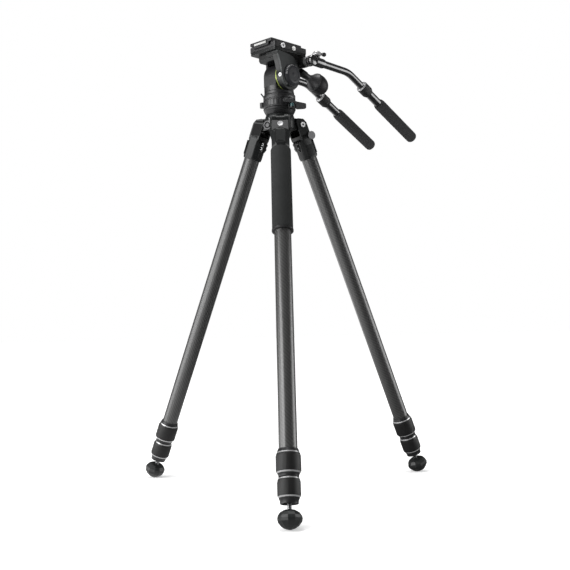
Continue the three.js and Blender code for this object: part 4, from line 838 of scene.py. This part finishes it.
tilt = joint("head_tilt")
place = stand(tilt["pos_m"], tilt["axis"], (0, 0, 1))
ALONG_X = Matrix.Rotation(math.pi / 2, 4, "Y")
low = -35.4
bm = bmesh.new()
turned(bm, [(0, low), (29.8, low), (30.5, low + 0.7), (30.5, low + 5.4), (29.7, low + 5.8),
    (29.7, low + 6.3), (0, low + 6.3)], 96)
BESIDE = 18.2
rim = [point for point in ring_of(96, 30.5) if point[0] <= BESIDE]
slab(bm, rim, low + 6.2, low + 15.9)
slab(bm, [(-28, -20.5), (28, -20.5), *arc(28, 28, range(0, 181, 5))], -15.9, 17.9, "x")
slab(bm, [(0.6 + 0.96 * u, 0.96 * v) for u, v in ring_of(72, 27)], -16.6, -15, "x")
piece("pan_body_casting", bm, place, "pan", head_black, "anodised", ["pan_body"], edge=1.0)

# ---------------------------------------------------------------- tilt shaft
# The steel shaft of the tilt joint, with a key hole in the end that shows on the left.

turned_piece("shaft", [(0, -20), (7.9, -20), (7.9, 36.8), (0, 36.8)], 48, place @ ALONG_X, "pan",
    bright_steel, "steel", ["tilt_shaft"])
socket_screw("shaft_end", place @ facing((-20.5, 0, 0), (-1, 0, 0)), "pan", 7.8, 2.4, 6)

# ---------------------------------------------------------------- accent ring
# A thin anodised ring, pale yellow green, marks the joint between barrel and tilt platform.

accent_green = noisy("accent_green", (0.50, 0.60, 0.16), 0.3, metallic=0.5, grain=1800,
    depth=0.00001, mottle=0.1)
turned_piece("accent_ring_thin", [(24, 18.3), (28.3, 18.3), (28.6, 18.6), (28.6, 19.7), (28.3, 20),
    (24, 20)], 96, place @ ALONG_X, "pan", accent_green, "accent", ["accent_ring"])

# ---------------------------------------------------------------- tilt platform
# One casting: a saddle under the clamp, a wide cheek with a flared neck on the right, a narrow
# cheek on the left, an arm for the tilt knob and a bar across the back for the pan handles.

CHEEK = 28.4
NECK = ((-40, 44.8), (-40, 41.5), (-39.2, 38.6), (-37.2, 34.6), (-34.8, 29.6), (-32.4, 24),
    (-30.6, 17.5), (-29.2, 10.5))


def cheek_outline(radius_back, top_back):
    """Outline of the wide cheek in (y, z): neck in front, arc below, and back to the top."""
    front = arc(CHEEK, CHEEK, range(168, 236, 6))
    below = arc(radius_back, radius_back, range(240, 385, 6))
    return [*NECK, *front, *below, *top_back]


bm = bmesh.new()
slab(bm, cheek_outline(CHEEK, [(26.5, 16), (26, 24), (26, 44.8)]), 20.4, 31.4, "x")
saddle = ((-33.9, 44.8, 0), (-33.9, 34, 1), (-30, 30.1, 1), (36, 30.1, 1), (36, 44.8, 0))
slab(bm, filleted(*saddle), -22.9, 35.8, "x")
front_lip = ((-39.9, 44.8, 0), (-39.9, 38.5, 1), (-36, 35, 1), (-30, 35, 0), (-30, 44.8, 0))
slab(bm, filleted(*front_lip), 4, 36.6, "x")
narrow_cheek = ((-14, 32, 0), (-14, -14, 13.9), (14, -14, 13.9), (14, 32, 0))
slab(bm, filleted(*narrow_cheek, steps=12), -22.9, -17.4, "x")
back_arm = ((8, 2.8, 1), (33, 2.8, 5), (41.5, 6.5, 3), (38.5, 19.5, 4), (8, 19.5, 1))
slab(bm, filleted(*back_arm), 21, 31, "x")
# crossbar behind the saddle
CROSSBAR = Matrix.Translation((0, 36, 32))
bar = bmesh.new()
turned(bar, [(0, -43.2), (10.4, -43.2), (10.4, -34), (9.8, -33.5), (9.8, 33.5), (10.4, 34),
    (10.4, 43.2), (0, 43.2)], 64)
add_part(bm, bar, CROSSBAR @ ALONG_X)
piece("tilt_platform_casting", bm, place, "tilt", casting_paint, "casting", ["tilt_platform"],
    edge=1.0)

# satin grey plate on the outside of the wide cheek; its grey, lighter than the casting, is painted
# light
cheek_painted_light_grey = noisy("cheek_painted_light_grey", (0.024, 0.027, 0.027), 0.42, metallic=0.15, grain=1500,
    depth=0.00003, mottle=0.1, specular=0.4)
bm = bmesh.new()
slab(bm, cheek_outline(22.6, [(21, 15), (17.5, 23.5), (13, 31), (6, 38), (-6, 41.6), (-18, 43.2)]),
    31, 37.2, "x")
piece("cheek_plate", bm, place, "tilt", cheek_painted_light_grey, "casting", edge=1.0)

# painted shade: matt black sheets where the recess between this plate and the saddle lies in shadow
bm = bmesh.new()
slab(bm, [(14.6, 29.9), (18.2, 24), (21.4, 15.4), (26.2, 16), (25.8, 29.9)], 31.2, 31.7, "x")
slab(bm, [(13.8, 30.4), (35.6, 30.4), (35.6, 44.5), (-17.5, 44.5), (-6, 42.2), (6, 38.6)], 35.6,
    36.1, "x")
piece("cheek_recess_shade", bm, place, "tilt", insert_plastic_and_shade, "casting")

# painted shade: a thin black sheet on the front of the saddle where a slot lies in shadow, and a
# screw in the cheek's front edge
bm = bmesh.new()
slab(bm, rounded(-21, 39, 3, 43.4, 1.2), -34.05, -33.5, "y")
piece("saddle_slot_shade", bm, place, "tilt", lock_rubber_and_shade, "casting")
socket_screw("cheek_screw", place @ facing((31, -28, -2.4), (0, -1, -0.085)), "tilt", 3.9, 0.5, 3,
    metal=silver_painted_light)

# bright rings on the ends of the crossbar, and the seat of the knob's arm
for side, sign in (("left", -1), ("right", 1)):
    bm = bmesh.new()
    turned(bm, [(0, 43.2), (9.4, 43.2), (10.2, 44.2), (10.2, 45.8), (9.6, 46.2), (10.2, 46.6),
        (10.2, 49), (9.4, 49.9), (0, 49.9)], 64)
    end = place @ CROSSBAR @ Matrix.Rotation(sign * math.pi / 2, 4, "Y")
    piece(f"crossbar_ring_{side}", bm, end, "tilt", machined, "grey_metal")

turn = joint("tilt_knob_turn")
knob = stand(turn["pos_m"], tilt["axis"], turn["axis"])
turned_piece("knob_arm", [(0, -16.5), (7.4, -16.5), (8, -15.5), (8, -1.2), (7.4, -0.4), (0, -0.4)],
    48, knob, "tilt", casting_paint, "casting")

# ---------------------------------------------------------------- tilt knob
# The knob that locks the tilt: a black disc and a grey metal cone at its root, and a long smooth
# cap of soft black plastic with a lighter lip.

cap_plastic = noisy("cap_plastic", (0.011, 0.011, 0.012), 0.5, grain=700, specular=0.24)
turned_piece("knob_root", [(0, 0.3), (6.9, 0.3), (6.9, 6), (0, 6)], 48, knob, "knob", black_satin_and_shade,
    "rubber", edge=0.4)
turned_piece("knob_cone", [(0, 6), (6.9, 6), (7.1, 10.5), (8.8, 14), (11.8, 18.5), (15, 22.4),
    (18.2, 25.6), (0, 25.6)], 72, knob, "knob", lever_grey, "rubber", edge=0.3)
turned_piece("knob_lip", [(0, 25.6), (18.3, 25.6), (19.6, 27.2), (19.9, 28.6), (0, 28.6)], 72, knob,
    "knob", lever_grey, "rubber")
bm = bmesh.new()
dome = arc(20.4, 25.9, range(0, 86, 5), (0, 38))
turned(bm, [(0, 28.6), (19.8, 28.6), (20.4, 29.6), *dome, (0, 63.9)], 96)
piece("knob_cap", bm, knob, "knob", cap_plastic, "rubber", ["tilt_knob"])

# ---------------------------------------------------------------- drag dial
# The dial that sets the tilt drag, slate grey plastic with a knurled rim, a cone with white ticks
# and a dished face.

slate = noisy("slate", (0.014, 0.015, 0.018), 0.5, grain=900, specular=0.4, mottle=0.12)
tick_white = noisy("tick_white", (0.75, 0.75, 0.75), 0.5, grain=900, mottle=0.04)
turn = joint("dial_turn")
dial = stand(turn["pos_m"], (0, 0, -1), turn["axis"])
bm = bmesh.new()
turned(bm, [(0, 0.1), (21.4, 0.1), (21.4, 1.9), (20.9, 2.3), (17.3, 5.6), (16.8, 5.9), (13, 5.9),
    (12.2, 5.2), (0, 5.2)], 240)
flute(bm, 60, 0.35, 21.3)
piece("dial_disc", bm, dial, "dial", slate, "anodised", ["drag_dial"])
turned_piece("dial_centre", [(0, 5.1), (4.4, 5.1), (4.4, 5.3), (3.9, 5.5), (0, 5.5)], 32, dial,
    "dial", slate, "anodised")
TICKS = 11
FIRST_TICK = 160
TICK_STEP = 11
CONE_SLOPE = 0.917
bm = bmesh.new()
for tick in range(TICKS):
    angle = math.radians(FIRST_TICK + TICK_STEP * tick)
    wide = 0.42 if tick % 5 == 0 else 0.26
    mark = bmesh.new()
    slab(mark, [(18.4, -wide), (20.4, -wide), (20.4, wide), (18.4, wide)], 0, 0.3)
    for vert in mark.verts:
        vert.co.z += 2.15 + (20.9 - vert.co.x) * CONE_SLOPE
    add_part(bm, mark, Matrix.Rotation(angle, 4, "Z"))
piece("dial_ticks", bm, dial, "dial", tick_white, "white_plastic")

# ---------------------------------------------------------------- clamp
# The plate clamp screwed on the saddle, a grey machined body with a channel along its top. Its side
# carries the clamp screw, in a pocket drawn only as painted shade, and the release button in a
# bore.

BUTTON = (6.5, 55.7)


def cut(bm, tool):
    """One shape with another taken out of it."""
    solids = []
    for shape in (bm, tool):
        bmesh.ops.recalc_face_normals(shape, faces=shape.faces)
        mesh = bpy.data.meshes.new("solid")
        shape.to_mesh(mesh)
        shape.free()
        solids.append(bpy.data.objects.new("solid", mesh))
        bpy.context.scene.collection.objects.link(solids[-1])
    taken = solids[0].modifiers.new("taken out", "BOOLEAN")
    taken.operation = "DIFFERENCE"
    taken.solver = "EXACT"
    taken.use_self = True
    taken.object = solids[1]
    left = bmesh.new()
    left.from_object(solids[0], bpy.context.evaluated_depsgraph_get())
    for solid in solids:
        bpy.data.meshes.remove(solid.data)
    return left


clamp_grey = noisy("clamp_grey", (0.018, 0.018, 0.019), 0.42, metallic=0.15, grain=1500,
    depth=0.00003, mottle=0.1)
bm = bmesh.new()
slab(bm, rounded(-36.4, -45.4, 36.4, 44.4, 4, 4, 3, 3), 45.4, 51.6)
piece("clamp_foot", bm, place, "tilt", casting_paint, "casting", edge=0.6)
bm = bmesh.new()
slab(bm, rounded(-37, -46, 37, 45, 4, 4, 3, 3), 51.4, 55.8)
for sign in (-1, 1):
    slab(bm, rounded(sign * 22.4, -46, sign * 37, 45, 0, 4, 3, 0), 55.6, 61.7)
bore = bmesh.new()
slab(bore, ring_of(48, 4.9, BUTTON), 28.6, 38, "x")
bm = cut(bm, bore)
piece("clamp_channel", bm, place, "tilt", clamp_grey, "casting", ["clamp_body"], edge=0.8)
# painted shade: a thin dark sheet where the pocket round the clamp screw lies in shadow, and a dark
# ring round the mouth of the button's bore
bm = bmesh.new()
slab(bm, arc(11, 4.3, range(0, 360, 12), (-25, 55.7)), 36.6, 37.1, "x")
slab(bm, ring_of(48, 5.6, BUTTON), 36.6, 37.1, "x", holes=[ring_of(48, 4.85, BUTTON)])
piece("side_pocket_shade", bm, place, "tilt", lock_rubber_and_shade, "casting")

# clamp screw and release button
turn = joint("clamp_knob_turn")
screw = stand(turn["pos_m"], (0, 0, 1), turn["axis"])
socket_screw("clamp_screw_head", screw @ Matrix.Translation((0, 0, 0.1)), "clamp_screw", 5.1, 2.2,
    4.4, ["clamp_knob"], shank=7.5, metal=silver_painted_light)
white_plastic = noisy("white_plastic", (0.90, 0.90, 0.88), 0.4, grain=900, mottle=0.03)
bm = bmesh.new()
turned(bm, [(0, 31), (4.4, 31), (4.4, 38.6), (3.8, 39.2), (2.6, 39.25), (2.2, 39), (0, 38.9)], 48)
button = place @ Matrix.Translation((0, *BUTTON)) @ ALONG_X
piece("release_button_cap", bm, button, "release", white_plastic, "white_plastic",
    ["release_button"])

# ---------------------------------------------------------------- camera plate
# The sliding plate that a camera is screwed to, machined and anodised grey. Its front end has a
# bare white strip in a shallow recess, and its top two pads of ribbed rubber.

rubber_pad = noisy("rubber_pad", (0.025, 0.025, 0.025), 0.75, grain=900, specular=0.25)
strip_white = noisy("strip_white", (0.42, 0.42, 0.41), 0.5, grain=900, mottle=0.05)
PAD_RIBS = 20
PAD_EDGE = -25.9
RIB_STEP = 2.6
SCREW_Y = -7.25
bm = bmesh.new()
slab(bm, rounded(-31, -51, 31, 36.5, 2.5), 62.2, 68.3, holes=[ring_of(24, 3.4, (0, SCREW_Y))])
slab(bm, rounded(-22, -51, 22, 36.5, 0), 56.2, 62.4, holes=[ring_of(32, 8.3, (0, SCREW_Y))])
piece("plate_machined", bm, place, "plate", clamp_grey, "casting", ["camera_plate"], edge=0.7)
bm = bmesh.new()
slab(bm, rounded(-21.8, 59.6, 19.5, 66, 1.2), -51.1, -50.6, "y")
piece("strip_recess", bm, place, "plate", casting_paint, "casting")
bm = bmesh.new()
slab(bm, rounded(-18.4, 60.8, 15.4, 64.9, 0.6), -51.25, -50.8, "y")
piece("white_strip", bm, place, "plate", strip_white, "white_plastic")
bm = bmesh.new()
comb = []
for rib in range(PAD_RIBS):
    left = PAD_EDGE + rib * RIB_STEP
    comb += [(left, 69.1), (left, 69.8), (left + 1.5, 69.8), (left + 1.5, 69.1)]
comb += [(25.0, 68.4), (PAD_EDGE, 68.4)]
slab(bm, comb, -46, SCREW_Y - 5.5, "y")
slab(bm, comb, SCREW_Y + 5.5, 31.5, "y")
piece("pad_ribs", bm, place, "plate", rubber_pad, "rubber", ["plate_pad"])

# ---------------------------------------------------------------- camera screw
# The steel screw that holds the camera, its slotted head drawn as a plain disc, in the rail of the
# plate.

turn = joint("camera_screw_turn")
screw = stand(turn["pos_m"], tilt["axis"], (0, 0, 1))
lift = (tilt["pos_m"][2] - turn["pos_m"][2]) / MM
bm = bmesh.new()
thread(bm, 3.1, 0.45, lift + 61, lift + 75.3, 1.27)
turned(bm, [(0, lift + 57.2), (7.9, lift + 57.2), (7.9, lift + 61), (0, lift + 61)], 48)
piece("camera_screw_steel", bm, screw, "camera_screw", bright_steel, "steel", ["camera_screw"])

# ---------------------------------------------------------------- pan handles
# A handle on each side of the head: a rosette and a bent bar of black anodised tube with a glossy
# finish. Its block carries a clamping lever. The tail slides in an outer tube with a foam grip.

grip_foam = noisy("grip_foam", (0.032, 0.032, 0.033), 0.9, grain=2600, depth=0.0003, mottle=0.3,
    specular=0.12)
BEND = math.radians(24.4)
BEND_RADIUS = 60
BAR_STRAIGHT = 112
BAR_TAIL = 180
BEND_STEPS = 10
ARM_TILT = math.radians(-82)


def bar_line():
    """Points and directions along the bar in its (y, z) plane, through the bend."""
    tangent = BEND_RADIUS * math.tan(BEND / 2)
    start = BAR_STRAIGHT - tangent
    line = [((0, 6, 0), 0.0), ((0, start, 0), 0.0)]
    for step in range(1, BEND_STEPS + 1):
        angle = BEND * step / BEND_STEPS
        rise = -BEND_RADIUS * (1 - math.cos(angle))
        line.append(((0, start + BEND_RADIUS * math.sin(angle), rise), angle))
    reach = BAR_TAIL - tangent
    x, y, z = line[-1][0]
    line.append(((x, y + math.cos(BEND) * reach, z - math.sin(BEND) * reach), BEND))
    return line


for side, sign in (("right", 1), ("left", -1)):
    raised = joint(f"{side}_handle_raise")
    slide = Vector(joint(f"{side}_handle_slide")["axis"])
    across = Vector(tilt["axis"])
    along = Matrix.Rotation(BEND, 3, across) @ slide
    handle = stand(raised["pos_m"], across, across.cross(along))
    tail = stand(handle @ Vector((0, BAR_STRAIGHT, 0)), across, slide)
    body = f"handle_{side}"

    bm = bmesh.new()
    rings = []
    for centre, angle in bar_line():
        ring = loop(bm, ring_of(32, 7.5), 0)
        verts = list({vert for edge in ring for vert in edge.verts})
        turn = Matrix.Translation(centre) @ Matrix.Rotation(-math.pi / 2 - angle, 4, "X")
        bmesh.ops.transform(bm, matrix=turn, verts=verts)
        rings.append(ring)
    loft(bm, rings)
    piece(f"{side}_bar", bm, handle, body, gloss_black, "anodised", [f"handle_{side}_bar"],
        edge=0.5)

    # rosette, sleeve and lever block
    bm = bmesh.new()
    turned(bm, [(0, -9.6), (9.6, -9.6), (10.6, -8.6), (10.9, -7), (10.9, -4.6), (10.2, -4),
        (10.2, -3), (10.9, -2.4), (10.9, 4.6), (10, 6.2), (8.6, 6.9), (0, 6.9)], 64)
    bmesh.ops.transform(bm, matrix=Matrix.Rotation(sign * math.pi / 2, 4, "Y"), verts=bm.verts)
    sleeve = bmesh.new()
    turned(sleeve, [(7.4, 7), (9.4, 7), (9.6, 8), (9.6, 30), (9.0, 33.4), (7.4, 33.9)], 64)
    add_part(bm, sleeve, Matrix.Rotation(-math.pi / 2, 4, "X"))
    block = bmesh.new()
    turned(block, [(0, 3), (7, 3), (7, 8.4), (6.2, 9), (5.2, 9.4), (5.2, 11.2), (6, 11.8),
        (0, 11.8)], 48)
    add_part(bm, block, Matrix.Translation((0, 14, 0)))
    piece(f"{side}_rosette", bm, handle, body, gloss_black, "anodised", edge=0.4)

    # clamping lever
    lever = handle @ Matrix.Translation((0, 14, 0))
    bm = bmesh.new()
    turned(bm, [(0, 7), (2.4, 7), (2.4, 12.4), (7.6, 12.4), (8.8, 13.4), (8.8, 17.4), (8.2, 19),
        (6, 21), (0, 21.2)], 144)
    flute(bm, 18, 0.5, 8.75)
    piece(f"{side}_lever_hub", bm, lever, f"lever_{side}", ring_steel, "grey_metal",
        [f"handle_{side}_lever"])
    bm = bmesh.new()
    turned(bm, [(0, 4), (2.6, 4), (2.3, 12), (2.5, 17), (3.6, 18.6), (4.3, 21), (4.4, 23),
        (3.6, 25.2), (2, 26.2), (0, 26.4)], 48)
    arm = lever @ Matrix.Translation((0, 0, 17.3)) @ Matrix.Rotation(ARM_TILT, 4, "X")
    piece(f"{side}_lever_arm", bm, arm, f"lever_{side}", black_satin_and_shade, "grey_metal")

    # collar that clamps the outer tube
    bm = bmesh.new()
    turned(bm, [(7.8, 50), (12, 50), (12.5, 51), (12.5, 70.5), (11.8, 72.4), (10.6, 75), (9.3, 75),
        (9.3, 56), (7.8, 55.6)], 192)
    flute(bm, 32, 0.6, 12.4)
    piece(f"{side}_collar_ribbed", bm, tail, f"collar_{side}", lock_rubber_and_shade, "rubber",
        [f"handle_{side}_collar"])
    turned_piece(f"{side}_collar_ring", [(7.8, 47.1), (9.9, 47.1), (11.4, 48.8), (11.6, 50),
        (7.8, 50)], 72, tail, f"collar_{side}", ring_steel, "steel")

    # outer tube and its grip
    turned_piece(f"{side}_outer_tube", [(7.8, 56.3), (9, 56.3), (9, 239.8), (7.8, 239.8)], 64, tail,
        f"extension_{side}", gloss_black, "anodised", [f"handle_{side}_outer_tube"], edge=0.3)
    grip = turned_piece(f"{side}_grip", [(9.1, 112), (10.2, 112), (11.2, 113), (12, 116),
        (12.5, 121), (12.5, 180), (12.5, 243), (12.2, 246.5), (10.8, 249.2), (8, 250.5), (0, 250.6),
        (0, 240.2), (9.1, 240.2)], 96, tail, f"extension_{side}", grip_foam, "foam",
        [f"handle_{side}_grip"])
